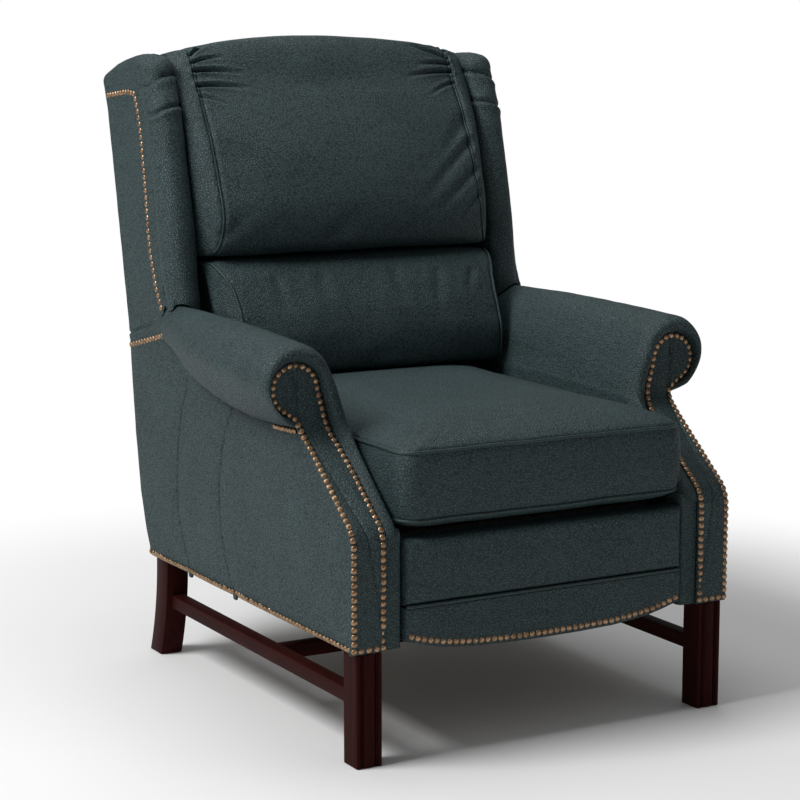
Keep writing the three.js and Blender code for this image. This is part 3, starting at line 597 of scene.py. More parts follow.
@dataclass(frozen=True)
class ChairLines:
    """Curves that several pieces follow, in millimetres: y runs back from the legs and z up from the floor."""

    frame_z: float = 184.3
    knee_z: float = 372.3
    neck_z: float = 512.3
    slope_y: float = 175.0
    ease: float = 24.0
    roll_rear: float = 698.0
    rear_near: float = 784.0
    rear_reach: float = 190.0
    rear_rise: float = 943.0
    inside_near: float = 705.0
    inside_lean: float = 148.0
    inside_low: float = 474.3
    inside_rise: float = 596.0
    rear_edge: tuple = ((0, 0), (0.046, 0.116), (0.122, 0.242), (0.238, 0.342), (0.345, 0.405), (0.405, 0.43),
                        (0.492, 0.505), (0.607, 0.626), (0.742, 0.768), (0.859, 0.89), (1, 1.16))
    roll_seam: tuple = ((181, 514), (227, 511), (300, 509.6), (376, 513.5), (454, 521), (534, 534), (596, 550),
                        (660, 578), (700, 596))

    def rear_y(self, z: float | Array) -> float | Array:
        """The rearmost y of the arms and the back at height z."""
        share = (np.asarray(z) - self.frame_z) / self.rear_rise
        return self.rear_near + self.rear_reach * read(self.rear_edge, share)

    def arm_path(self, count: int = 90) -> Array:
        """The side view of the arm's front, as (y, z) points from the bottom up to the top of the scroll.

        Args:
            count: how many points to return.

        Returns:
            The points, evenly spaced.
        """
        knee, neck = np.array([0, self.knee_z]), np.array([self.slope_y, self.neck_z])
        slope = (neck - knee) / np.linalg.norm(neck - knee)
        turn = np.linspace(0, 1, 12)[:, None]
        bend = (lambda a, b, c: (1 - turn) ** 2 * a + 2 * turn * (1 - turn) * b + turn**2 * c)
        low = bend(knee - [0, self.ease], knee, knee + slope * self.ease)
        high = bend(neck - slope * self.ease, neck, neck + [0, self.ease])
        return respace(np.vstack([[0, self.frame_z], low, high, [self.slope_y, 650]]), count)

    def arm_y(self, z: float | Array) -> float | Array:
        """The y of the arm's front at height z."""
        path = self.arm_path(300)
        return np.interp(z, path[:, 1], path[:, 0])

    def seam_z(self, y: float | Array) -> float | Array:
        """The height of the seam under the arm's roll."""
        return read(self.roll_seam, y)

    def inside_y(self, z: float | Array) -> float | Array:
        """The front of the upholstered inside back."""
        share = np.clip((np.asarray(z) - self.inside_low) / self.inside_rise, 0, 2)
        return self.inside_near + self.inside_lean * share


LINES = ChairLines()


# Nails and welts, laid along lines


@dataclass
class NailRow:
    """Decorative nails at an even pitch along a line, each a low brass dome with its rim on the leather."""

    head: float = 10.8
    pitch: float = 11.5
    rise: float = 2.8
    sink: float = 0.5
    tilt: float = 0.06
    sides: int = 10
    dome: tuple = ((0.5, -0.35), (0.5, 0.0), (0.46, 0.42), (0.33, 0.8), (0.16, 0.97))

    def paced(self, path: Array) -> Array:
        """Spaces a line's points at the pitch."""
        return respace(path, int(span(path) / self.pitch))

    def head_mesh(self) -> Piece:
        """One nail head, its rim at z zero and its dome along z.

        Returns:
            The nail, to be copied.
        """
        points = [(math.cos(a) * r * self.head, math.sin(a) * r * self.head, h * self.rise)
                  for r, h in self.dome for a in np.linspace(0, 2 * math.pi, self.sides, endpoint=False)]
        faces = grid_faces(len(self.dome), self.sides, True)
        base = (len(self.dome) - 1) * self.sides
        points.append((0, 0, self.rise))
        faces += [(base + i, base + (i + 1) % self.sides, len(points) - 1) for i in range(self.sides)]
        faces.append(tuple(range(self.sides - 1, -1, -1)))
        mesh = bpy.data.meshes.new("nail_head")
        mesh.from_pydata([[c * MM for c in p] for p in points], [], faces)
        mesh.shade_smooth()
        piece = bpy.data.objects.new("nail_head", mesh)
        link(piece)
        return piece

    def tree(self) -> Tree:
        """The node group that sets a nail on each point, turned to the surface there.

        Returns:
            The group, which is built once.
        """
        group = bpy.data.node_groups.get("nails_on_points")
        if group:
            return group
        group = bpy.data.node_groups.new("nails_on_points", "GeometryNodeTree")
        face = group.interface
        for word, kind in (("Points", "Geometry"), ("Nail", "Object"), ("Finish", "Material"), ("Tilt", "Float"),
                           ("Seed", "Int")):
            face.new_socket(word, in_out="INPUT", socket_type="NodeSocket" + kind)
        face.new_socket("Nails", in_out="OUTPUT", socket_type="NodeSocketGeometry")
        given = group.nodes.new("NodeGroupInput")
        result = group.nodes.new("NodeGroupOutput")
        nodes = Nodes(group)
        facing = nodes.add("GeometryNodeInputNamedAttribute", {"Name": "facing"}, data_type="FLOAT_VECTOR")
        turn = nodes.add("FunctionNodeAlignRotationToVector", {"Vector": facing.outputs[0]}, axis="Z")
        low = nodes.math("MULTIPLY", given.outputs["Tilt"], -1.0)
        lean = nodes.add("FunctionNodeRandomValue", {"Min": low, "Max": given.outputs["Tilt"],
                                                     "Seed": given.outputs["Seed"]}, data_type="FLOAT")
        tip = nodes.add("ShaderNodeCombineXYZ", {0: lean.outputs[1], 1: lean.outputs[1]})
        spin = nodes.add("FunctionNodeRotateRotation", {0: turn.outputs[0], 1: tip.outputs[0]}, rotation_space="LOCAL")
        nail = nodes.add("GeometryNodeObjectInfo", {"Object": given.outputs["Nail"]})
        copies = nodes.add("GeometryNodeInstanceOnPoints",
                           {"Points": given.outputs["Points"], "Instance": nail.outputs["Geometry"],
                            "Rotation": spin.outputs[0]})
        real = nodes.add("GeometryNodeRealizeInstances", {0: copies.outputs[0]})
        done = nodes.add("GeometryNodeSetMaterial", {"Geometry": real.outputs[0], "Material": given.outputs["Finish"]})
        nodes.fill(result, {0: done.outputs[0]})
        return group

    def lay(self, name: str, points: Array, facing: Array, side: Side, body: Body) -> None:
        """Sets a nail on each point, all in one mesh.

        Args:
            name: the piece's name.
            points: where the rims sit, in millimetres.
            facing: the surface normal at each point.
            side: LEFT mirrors them.
            body: the body that carries them.
        """
        sign = np.array([side.value, 1, 1])
        place = (np.asarray(points) - np.asarray(facing) * self.sink) * sign + [0, FRONT_Y, 0]
        mesh = bpy.data.meshes.new(name)
        mesh.from_pydata((place * MM).tolist(), [], [])
        turned = mesh.attributes.new("facing", "FLOAT_VECTOR", "POINT")
        turned.data.foreach_set("vector", (np.asarray(facing) * sign).astype(np.float32).ravel())
        seat = bpy.data.objects.new(name, mesh)
        link(seat)
        nail = self.head_mesh()
        work = seat.modifiers.new("nails", "NODES")
        work.node_group = self.tree()
        values = {"Nail": nail, "Finish": BRASS.material(), "Tilt": self.tilt, "Seed": len(place)}
        for item in work.node_group.interface.items_tree:
            if item.in_out == "INPUT" and item.name in values:
                work[item.identifier] = values[item.name]
        bake(seat)
        seat.data.name = name
        seat.data.shade_smooth()
        bpy.data.objects.remove(nail)
        dress(seat, body, BRASS)


def along_surface(grid: Array, path: Array, way: Sequence[float]) -> tuple[Array, Array]:
    """Lays points on a surface.

    Args:
        grid: the surface, as rows and columns of points.
        path: the points to lay.
        way: a direction on the side that the surface faces.

    Returns:
        The points, moved on to the surface at the nearest place, and the unit normals there.
    """
    flat = grid.reshape(-1, 3)
    found = [int(np.argmin(((flat - p) ** 2).sum(axis=1))) for p in path]
    normals = grid_normals(grid).reshape(-1, 3)[found]
    normals = np.where((normals @ np.asarray(way, float))[:, None] < 0, -normals, normals)
    gap = ((path - flat[found]) * normals).sum(axis=1, keepdims=True)
    return path - gap * normals, normals


def tube(name: str, path: Array, radius: float, closed: bool = False) -> Piece:
    """A welt or cord along a line.

    Args:
        name: the piece's name.
        path: the points of its middle line.
        radius: half its thickness.
        closed: True if the line closes on itself.

    Returns:
        The tube, with round ends if it is open.
    """
    count, sides = len(path), 10
    if closed:
        heading = np.roll(path, -1, 0) - np.roll(path, 1, 0)
    else:
        heading = np.gradient(path, axis=0)
    heading /= np.maximum(np.linalg.norm(heading, axis=1, keepdims=True), 1e-9)
    up = np.cross(heading[0], [0.3, 0.2, 0.93])
    frames = []
    for h in heading:
        up = up - h * up.dot(h)
        up /= np.linalg.norm(up)
        frames.append((up.copy(), np.cross(h, up)))
    angle = np.linspace(0, 2 * math.pi, sides, endpoint=False)
    rings = np.array([[path[i] + radius * (math.cos(a) * frames[i][0] + math.sin(a) * frames[i][1]) for a in angle]
                      for i in range(count)])
    if closed:
        points = rings.reshape(-1, 3)
        faces = grid_faces(count, sides, True)
        last = (count - 1) * sides
        turn = min(range(sides), key=lambda k: ((np.roll(rings[0], -k, 0) - rings[-1]) ** 2).sum())
        faces += [(last + c, last + (c + 1) % sides, (c + 1 + turn) % sides, (c + turn) % sides)
                  for c in range(sides)]
        return to_object(name, points, faces)
    ends = [path[0] - heading[0] * radius * 0.6, path[-1] + heading[-1] * radius * 0.6]
    small = [np.array([e + (p - q) * 0.6 for p in ring]) for e, q, ring in
             ((ends[0], path[0], rings[0]), (ends[1], path[-1], rings[-1]))]
    return shell(name, np.concatenate([small[0][None], rings, small[1][None]]), cap_rows=1)


def node_box(node: str) -> Array:
    """A frame node's corners in millimetres, with y measured from the front of the legs."""
    low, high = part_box(node)
    return np.array([[low.x, low.y, low.z], [high.x, high.y, high.z]]) / MM - [0, FRONT_Y, 0]


def round_rect(half_u: float, half_v: float, radius: float, steps: int = 4) -> Array:
    """A rectangle with round corners, centred on zero, as (u, v) points.

    Args:
        half_u: half its width.
        half_v: half its depth.
        radius: the radius of its corners.
        steps: how many points a corner has.

    Returns:
        The points, anticlockwise.
    """
    points = []
    for quarter, (u, v) in enumerate(((1, 1), (-1, 1), (-1, -1), (1, -1))):
        for angle in np.linspace(quarter, quarter + 1, steps) * math.pi / 2:
            points.append((u * (half_u - radius) + radius * math.cos(angle),
                           v * (half_v - radius) + radius * math.sin(angle)))
    return np.array(points)


@dataclass
class Woodwork:
    """Legs and stretchers of stained mahogany: moulded square front legs, raked rear legs, an H of stretchers."""

    chamfer: float = 1.4
    groove: float = 4.2
    kick: float = 36.0
    moulding: tuple = ((0.0, 0.6), (0.012, 0.25), (0.04, 0.1), (0.085, 0.0), (0.13, 0.08), (0.155, 0.3), (0.16, 0.72),
                       (0.185, 0.78), (0.2, 0.6), (0.205, 0.25), (0.235, 0.3), (0.24, 1.0), (0.275, 1.05),
                       (0.28, 0.5), (0.31, 0.3), (0.4, 0.1), (0.5, 0.0))

    def build(self) -> None:
        """Makes the four legs and the three stretchers."""
        for side in Side:
            self.front_leg(side)
            self.rear_leg(side)
            self.stretcher(f"side_stretcher_{side.word}", side, 1, MAHOGANY_RAIL)
        self.stretcher("cross_stretcher", Side.RIGHT, 0, MAHOGANY_CROSS)

    def levels(self, low: float, high: float, count: int) -> list[tuple[float, float]]:
        """Heights with how far the section is drawn in there, for eased ends."""
        inner = [(z, 0.0) for z in np.linspace(low + self.chamfer, high - self.chamfer, count)]
        return [(low, self.chamfer), (low + self.chamfer * 0.3, self.chamfer * 0.4), *inner, (high, self.chamfer)]

    def front_leg(self, side: Side) -> None:
        """A square leg whose front is run with beads, grooves and a shallow middle panel.

        Args:
            side: which leg.
        """
        low, high = node_box("front_leg_right")
        wide, deep = high[0] - low[0], high[1] - low[1]
        half = [(u * wide, v * self.groove) for u, v in self.moulding]
        front = half + [(wide - u, v) for u, v in half[-2::-1]]
        ease = self.chamfer
        ring = front + [(wide, deep - ease), (wide - ease, deep), (ease, deep), (0, deep - ease)]
        flat = respace_keep(np.array(ring), 2.5)
        middle = np.array([wide / 2, deep / 2])
        rings = []
        for z, inset in self.levels(low[2], high[2], 8):
            drawn = middle + (flat - middle) * (1 - inset / (wide / 2))
            rings.append([(low[0] + u, low[1] + v, z) for u, v in drawn])
        piece = shell(f"front_leg_turned_{side.word}", np.array(rings), side, cap_rows=1, sharp=28)
        dress(piece, Body.BASE, MAHOGANY, [f"front_leg_{side.word}"])

    def rear_leg(self, side: Side) -> None:
        """A plain leg that kicks back towards the floor.

        Args:
            side: which leg.
        """
        low, high = node_box("rear_leg_right")
        depth = high[1] - low[1] - self.kick
        section = round_rect((high[0] - low[0]) / 2, depth / 2, 2.2, 3)
        rings = []
        for z, inset in self.levels(low[2], high[2], 14):
            y = low[1] + self.kick * (1 - z / high[2]) ** 2 + depth / 2
            drawn = section * (1 - inset / (depth / 2))
            rings.append([((low[0] + high[0]) / 2 + u, y + v, z) for u, v in drawn])
        piece = shell(f"rear_leg_shaped_{side.word}", np.array(rings), side, cap_rows=1, sharp=40)
        dress(piece, Body.BASE, MAHOGANY, [f"rear_leg_{side.word}"])

    def stretcher(self, node: str, side: Side, axis: int, finish: Finish) -> None:
        """A square bar with eased edges along one axis.

        Args:
            node: the frame node that it stands for.
            side: LEFT mirrors it.
            axis: the axis that it runs along.
            finish: what it is made of.
        """
        low, high = node_box("side_stretcher_right" if axis else node)
        middle, half = (low + high) / 2, (high - low) / 2
        cross = [a for a in (0, 1, 2) if a != axis]
        section = round_rect(half[cross[0]], half[cross[1]], 2.0, 3)
        rings = np.zeros((12, len(section), 3))
        rings[:, :, axis] = np.linspace(low[axis], high[axis], 12)[:, None]
        rings[:, :, cross[0]] = middle[cross[0]] + section[:, 0]
        rings[:, :, cross[1]] = middle[cross[1]] + section[:, 1]
        dress(shell(f"{node}_eased", rings, side, cap_rows=1, sharp=40), Body.BASE, finish, [node])


def respace_keep(ring: Array, step: float) -> Array:
    """Adds points to a closed ring's long sides and keeps its own.

    Args:
        ring: the corners.
        step: a third of the longest gap.

    Returns:
        The ring with its new points.
    """
    points = []
    for a, b in zip(ring, np.roll(ring, -1, 0)):
        count = max(1, int(np.linalg.norm(b - a) / step / 3))
        points += [a + (b - a) * i / count for i in range(count)]
    return np.array(points)


@dataclass
class Arm:
    """One arm: the outside panel with its curved seams, the rolled top with the pad beside the cushion, the nailed
    facing that ends in a scroll, and the plain strip beside the footrest."""

    side: Side
    skin_x: float = 360.0
    facing_inner: float = 300.0
    scroll_x: float = 367.0
    scroll_z: float = 577.0
    scroll_radius: float = 45.0
    roll_out: float = 429.0
    seam_depth: float = 2.6
    strip_back: float = 6.0
    pad_foot: float = 364.3
    foot: float = 183.0
    bend_share: float = 0.68
    return_x: tuple = (274.0, 303.0)
    return_z: tuple = (186.0, 570.0)
    strip_x: tuple = (302.0, 267.4)
    strip_top: float = 373.5
    front_seam: tuple = ((422, 522), (436, 497), (451, 470), (464, 435), (473, 397), (478, 370), (479, 344),
                         (476, 310), (469, 275), (450, 226), (440, 207), (428, 190))
    rear_seam: tuple = ((610, 536), (617, 512), (628, 488), (636, 464), (643, 440), (651, 404), (655, 366),
                        (655, 330), (653, 294), (644, 266), (634, 243), (619, 208), (612, 190))
    nails: NailRow = field(default_factory=NailRow)

    def build(self) -> None:
        """Makes and dresses every piece of the arm."""
        self.outside()
        self.roll()
        self.facing()
        self.strip()
        self.rear_return()

    def name(self, what: str) -> str:
        """A piece's name with its side."""
        return f"{what}_{self.side.word}"

    def top_edge(self, count: int) -> Array:
        """The outside panel's upper edge: under the roll, then down to the rear corner.

        Args:
            count: how many points to return.

        Returns:
            Points (y, z), evenly spaced.
        """
        front = [(y, LINES.seam_z(y) + 2) for y in np.linspace(186, 690, 34)]
        rear = [(704, 612), (716, 614), (740, 609), (771, 601), (810, 591), (858, 578)]
        return respace(np.array(front + rear), count)

    def outside(self) -> None:
        """The outside panel, drawn in at its two curved seams and nailed along the bottom and the rear top."""
        columns, rows = 290, 160
        path = LINES.arm_path(600)
        path = path[path[:, 1] < 514]
        front = respace(path + [4.0, 0], rows)
        high = self.top_edge(columns)
        back_z = np.linspace(self.foot, high[-1, 1], rows)
        back = np.stack([LINES.rear_y(back_z) + 0.5, back_z], axis=1)
        low = np.stack([np.linspace(front[0, 0], back[0, 0], columns), np.full(columns, self.foot)], axis=1)
        back[0], front[0] = low[-1], low[0]
        front[-1] = high[0]
        flat = coons(low, high, front, back)
        edge = np.vstack([low, back, high[::-1], front[::-1]])
        near = nearest(flat, edge)
        fold = np.zeros(near.shape)
        pull = np.zeros(near.shape)
        for line in (self.front_seam, self.rear_seam):
            gap = nearest(flat, spline(line, 240))
            fold += np.exp(-(gap / 2.3) ** 2)
            pull += np.exp(-(gap / 24) ** 2)
        place = np.concatenate([np.zeros(flat.shape[:2] + (1,)), flat], axis=2)
        swell = 3.2 * np.clip(near / 110, 0, 1) ** 0.5
        height = (self.skin_x - 2.5 + swell - rounded(near, 5.0) - self.seam_depth * fold - 1.5 * pull
                  + 0.9 * ripple(place, 120, 1) + 0.35 * ripple(place, 34, 2))
        outer = place.copy()
        outer[..., 0] = height
        inner = place.copy()
        inner[..., 0] = 300.0
        dress(slab(self.name("outside_panel"), outer, inner, self.side), Body.BASE, LEATHER, [self.name("outside_arm")])
        self.outside_nails(outer)
        self.underarm_nails()
        self.tabs()

    def outside_nails(self, outer: Array) -> None:
        """Nails along the bottom edge and the rear part's top edge.

        Args:
            outer: the panel's face.
        """
        lines = (((10, 191), (845, 191)), ((704, 603), (771, 587), (860, 567)))
        paths = [self.nails.paced(np.array([(358.5, y, z) for y, z in line], float)) for line in lines]
        seat, facing = along_surface(outer[::2], np.vstack(paths), (1, 0, 0))
        self.nails.lay(self.name("outside_nails"), seat, facing, self.side, Body.BASE)

    def underarm_nails(self) -> None:
        """A short row of nails under the roll, just behind the facing."""
        path = np.array([(self.skin_x + 1, y, LINES.seam_z(y) - 5) for y in np.arange(190, 262, self.nails.pitch)])
        self.nails.lay(self.name("underarm_nails"), path, np.tile([0.96, 0.0, -0.28], (len(path), 1)), self.side,
                       Body.BASE)

    def tabs(self) -> None:
        """The ends of the two seams, which hang a little below the bottom edge."""
        for number, y in enumerate((424, 608)):
            ring = round_rect(2.4, 6, 1.2, 3)
            levels = [(180.0, 0.6), (181.2, 0.9), (184.0, 1.0), (189.0, 1.0)]
            rings = [[(self.skin_x - 3.2 + u * s, y + v * s, z) for u, v in ring] for z, s in levels]
            dress(shell(self.name(f"seam_tab_{number + 1}"), np.array(rings), self.side, cap_rows=1), Body.BASE,
                  LEATHER)

    def section(self, y: float, count: int) -> Array:
        """The arm's section at y, from the seam under the roll, over the top and down to the cushion.

        Args:
            y: where the section lies.
            count: how many points to return.

        Returns:
            Points (x, z), evenly spaced in each of its parts.
        """
        share = np.clip((y - 181) / (LINES.roll_rear - 181), 0, 1)
        seam = LINES.seam_z(y)
        top = 651.5 + 9 * math.sin(share * math.pi * 0.75)
        reach = self.roll_out - 2 - 61 * share**2.1
        root = self.skin_x - 3
        wide = reach - root
        middle = 592 + 20 * share**1.5
        belly = min(seam + 16, middle - 14)
        over = [(root, seam), (root + 0.214 * wide, seam + 3.5), (root + 0.53 * wide, belly),
                (root + 0.886 * wide, middle - 28 + 12 * share), (reach, middle),
                (root + 0.914 * wide, middle + 26 - 6 * share), (root + 0.614 * wide - 6 * share, top - 9),
                (370 - 22 * share, top), (341 - 10 * share, top - 5), (316 - 8 * share, top - 22),
                (301 - 10 * share, top - 48), (289 - 8 * share, top - 78), (279, top - 108), (273.5, top - 134)]
        bend = spline(over, int(count * self.bend_share))
        down = np.stack([np.full(count - len(bend), 272.3),
                         np.linspace(bend[-1, 1], self.pad_foot, count - len(bend) + 1)[1:]], axis=1)
        return np.vstack([bend, down])

    def top_at(self, x: Array, y: Array) -> Array:
        """The height of the rolled arm's upper side at each point (x, y).

        Args:
            x: the places across.
            y: the places back.

        Returns:
            The height at each place.
        """
        lines = {}
        found = []
        for across, back in zip(x, y):
            key = round(float(np.clip(back, 200, LINES.roll_rear)) / 8) * 8
            if key not in lines:
                line = self.section(float(key), 150)
                lines[key] = line[int(np.argmax(line[:, 0])):][::-1]
            line = lines[key]
            found.append(np.interp(across, line[:, 0], line[:, 1]))
        return np.array(found)

    def border(self, count: int) -> Array:
        """Where the roll's leather meets the facing, as (x, z) from the neck round the scroll and down.

        Args:
            count: how many points to return.

        Returns:
            The points, evenly spaced in each part.
        """
        turn = np.radians(np.linspace(-62, 172, 40))
        ring = np.stack([self.scroll_x + (self.scroll_radius - 1) * np.cos(turn),
                         self.scroll_z + (self.scroll_radius - 1) * np.sin(turn)], axis=1)
        neck = [(self.skin_x + 1, 520), (self.skin_x + 6, 529)]
        side = [(319, 566), (313, 545), (307, 520), (304, 500)]
        bend = spline([*neck, *ring, *side], int(count * self.bend_share))
        low = np.stack([np.full(count - len(bend), self.facing_inner + 2.5),
                        np.linspace(bend[-1, 1], self.pad_foot, count - len(bend) + 1)[1:]], axis=1)
        return np.vstack([bend, low])

    def roll(self) -> None:
        """The rolled arm and the pad beside the cushion, as one skin that folds in round the facing."""
        count = 150
        border = self.border(count)
        border_y = LINES.arm_y(border[:, 1]) + 5
        base = np.stack([border[:, 0], border_y, border[:, 1]], axis=1)
        start = np.where(np.arange(count) < int(count * self.bend_share), 190.0, 0.0)
        first = self.section(190.0, count)
        low = first[:, 1] < 560
        start = np.where(low & (first[:, 0] < 320), LINES.arm_y(first[:, 1]) + 30, start)
        start = smooth_line(start, 9)
        stations = np.concatenate([[0, 0.008, 0.02], np.linspace(0.045, 1, 86)])
        grid = np.zeros((len(stations), count, 3))
        sections: dict[float, Array] = {}
        for j, share in enumerate(stations):
            ys = start + (LINES.roll_rear - start) * share
            for i, y in enumerate(ys):
                key = round(float(max(y, 181.0)), 0)
                if key not in sections:
                    sections[key] = self.section(key, count)
                grid[j, i] = (sections[key][i, 0], y, sections[key][i, 1])
        body = grid[0]
        out = body - base
        out[:, 1] = 0
        reach = np.linalg.norm(out, axis=1, keepdims=True)
        out /= np.maximum(reach, 1e-6)
        share = np.arange(count)[:, None] / count
        lip = np.where(share < self.bend_share, 20.0, 7.0)
        lip = smooth_line(lip[:, 0], 15)[:, None] * np.clip(share * 14, 0.15, 1)
        ahead = np.array([0, -1, 0])
        last = body * [1, 0, 1] + (base * 0.55 + body * 0.45) * [0, 1, 0] - out * reach * 0.05 + ahead * lip * 0.35
        knots = np.stack([base, base + out * reach * 0.1 + ahead * lip * 0.55, base + out * reach * 0.34 + ahead * lip,
                          base + out * reach * 0.68 + ahead * lip * 0.93, last, body])
        fold = np.stack([spline(knots[:, i], 18) for i in range(count)], axis=1)
        skin = np.vstack([fold[:-1], grid])
        rear = skin[-1]
        centre = np.array([335, LINES.roll_rear, 560])
        ends = [rear + (centre - rear) * s * [1, 0, 1] + [0, d, 0]
                for s, d in ((0.05, 4), (0.16, 7), (0.4, 8), (0.97, 8))]
        skin = np.vstack([skin, np.array(ends)])
        soft = 1.1 * ripple(skin, 90, 4 + self.side.value) + 0.4 * ripple(skin, 28, 5)
        normal = normals_out(skin, (skin - [330, 0, 560]) * [1, 0, 1])
        fade = np.clip(np.arange(len(skin)) / 14, 0, 1)[:, None]
        skin = skin + normal * (soft * fade)[..., None]
        piece = slab(self.name("rolled_arm"), skin, skin - normal * 4.0, self.side)
        dress(piece, Body.BASE, LEATHER, [self.name("arm_roll"), self.name("inside_arm")])

    def outline(self) -> tuple[Array, Array, Array]:
        """The facing's edges by height.

        Returns:
            The heights, the inner edge's x and the outer edge's x.
        """
        theta = np.linspace(0, math.pi / 2, 22)[1:-1]
        z = np.concatenate([np.arange(183.5, 500, 4.0), np.arange(500, self.scroll_z, 2.0),
                            self.scroll_z + self.scroll_radius * np.sin(theta), [self.scroll_z + 44.7]])
        inner = read(((183, self.facing_inner), (455, self.facing_inner), (490, 303), (520, 308), (545, 314),
                      (562, 318.8), (577, 322)), z)
        outer = read(((183, 361), (470, 361), (495, 361.6), (512, 363), (522, 366), (529, 371), (533, 378),
                      (537, 386), (543, 395), (550, 402), (560, 408.5), (569, 411.5), (577, 412)), z)
        cap = np.sqrt(np.maximum(self.scroll_radius**2 - (z - self.scroll_z) ** 2, 0))
        above = z > self.scroll_z
        return z, np.where(above, self.scroll_x - cap, inner), np.where(above, self.scroll_x + cap, outer)

    def facing(self) -> None:
        """The shaped panel down the front of the arm, with nails round its edge."""
        z, inner, outer = self.outline()
        across = np.linspace(0, 1, 34)
        across = 0.5 - 0.5 * np.cos(across * math.pi) * (0.35 + 0.65 * np.abs(np.cos(across * math.pi)))
        x = inner[:, None] + (outer - inner)[:, None] * across[None]
        path = LINES.arm_path(500)
        tangent = np.gradient(path, axis=0)
        tangent /= np.linalg.norm(tangent, axis=1, keepdims=True)
        normal = np.stack([np.interp(z, path[:, 1], -tangent[:, 1]), np.interp(z, path[:, 1], tangent[:, 0])], axis=1)
        foot = [(v, 183.5) for v in np.linspace(300, 361, 20)]
        edge = np.vstack([np.stack([inner, z], 1), np.stack([outer, z], 1), foot])
        plane = np.stack([x, np.repeat(z[:, None], len(across), 1)], axis=2)
        near = nearest(plane, edge)
        level = np.clip(near / 24, 0, 1)
        lift = 2.0 + 1.8 * level**2 * (3 - 2 * level) - rounded(near, 4.0)
        place = np.stack([x, LINES.arm_y(plane[..., 1]), plane[..., 1]], axis=2)
        lift += 0.35 * ripple(place, 30, 8 + self.side.value)
        front = place + lift[..., None] * np.concatenate([np.zeros((len(z), 1)), normal], axis=1)[:, None]
        back = place + [0, 6, 0]
        dress(slab(self.name("nailed_facing"), front, back, self.side), Body.BASE, LEATHER, [self.name("arm_facing")])
        around = self.scroll_radius - 5.6
        ring = [(self.scroll_x + around * math.cos(a), self.scroll_z + around * math.sin(a))
                for a in np.radians(np.linspace(168, -48, 30))]
        start = self.facing_inner + 5.0
        loop = [(start, 191), (start, 450), (308.5, 490), (313.5, 520), (319.5, 546), (325, 566), *ring, (383, 540),
                (374, 535), (366, 529), (360.5, 519), (358, 505), (356, 480), (356, 191)]
        dense = respace(np.array(loop, float), 900)
        points = np.stack([dense[:, 0], LINES.arm_y(dense[:, 1]), dense[:, 1]], axis=1)
        bottom = np.array([(x0, 0.0, 191.0) for x0 in np.linspace(316.5, 344.5, 3)])
        seat, facing = along_surface(front, np.vstack([self.nails.paced(points), bottom]), (0, -1, 0.2))
        self.nails.lay(self.name("facing_nails"), seat, facing, self.side, Body.BASE)

    def rear_return(self) -> None:
        """The leather that turns round the arm's rear edge, as far as the outside back."""
        rows, columns = 90, 16
        z = np.linspace(*self.return_z, rows)
        x = np.linspace(*self.return_x, columns)
        front = np.zeros((rows, columns, 3))
        front[..., 0], front[..., 2] = x[None], z[:, None]
        near = np.minimum((x - x[0])[None], np.minimum(z - z[0], z[-1] - z)[:, None])
        front[..., 1] = LINES.rear_y(front[..., 2]) - 1.0 - rounded(near, 5.0)
        back = front.copy()
        back[..., 1] = LINES.rear_y(back[..., 2]) - 13.0
        dress(slab(self.name("rear_return"), front, back, self.side), Body.BASE, LEATHER)

    def strip(self) -> None:
        """The plain strip between the facing and the footrest, which runs up beside the cushion."""
        z = np.concatenate([np.arange(184.3, 366, 4.0), [368.5, 371, 373]])
        x = np.linspace(*self.strip_x, 14)
        fall = rounded(x - x[-1], 7.0)
        rise = rounded(self.strip_top - z, 9.0)
        front = np.zeros((len(z), len(x), 3))
        front[..., 0] = x[None]
        front[..., 2] = z[:, None]
        front[..., 1] = self.strip_back + fall[None] + rise[:, None]
        front[..., 1] += 0.4 * ripple(front, 40, 11)
        back = front.copy()
        back[..., 1] = 49.5
        dress(slab(self.name("plain_strip"), front, back, self.side), Body.BASE, LEATHER, [self.name("front_post")])


def nearest(points: Array, line: Array) -> Array:
    """The distance from each point of a flat grid to a polyline, which is thinned to its own points.

    Args:
        points: a grid of points in a plane.
        line: the polyline, in that plane.

    Returns:
        The distance at each point of the grid.
    """
    flat = points.reshape(-1, points.shape[-1])
    best = np.full(len(flat), 1e9)
    for a, b in zip(line[:-1], line[1:]):
        d = b - a
        size = float(d @ d)
        if size < 1e-9:
            continue
        t = np.clip(((flat - a) @ d) / size, 0, 1)
        best = np.minimum(best, ((flat - a - t[:, None] * d) ** 2).sum(axis=1))
    return np.sqrt(best).reshape(points.shape[:-1])


def smooth_line(values: Array, width: int) -> Array:
    """A running mean that keeps the ends.

    Args:
        values: the numbers along the line.
        width: how many of them to average.

    Returns:
        The averaged numbers.
    """
    pad = width // 2
    held = np.concatenate([np.full(pad, values[0]), values, np.full(pad, values[-1])])
    return np.convolve(held, np.ones(width) / width, mode="valid")[:len(values)]


def crease(distance: Array, width: float, depth: float) -> Array:
    """The depth of a fold at a distance from its line."""
    return depth * np.exp(-(distance / width) ** 2)


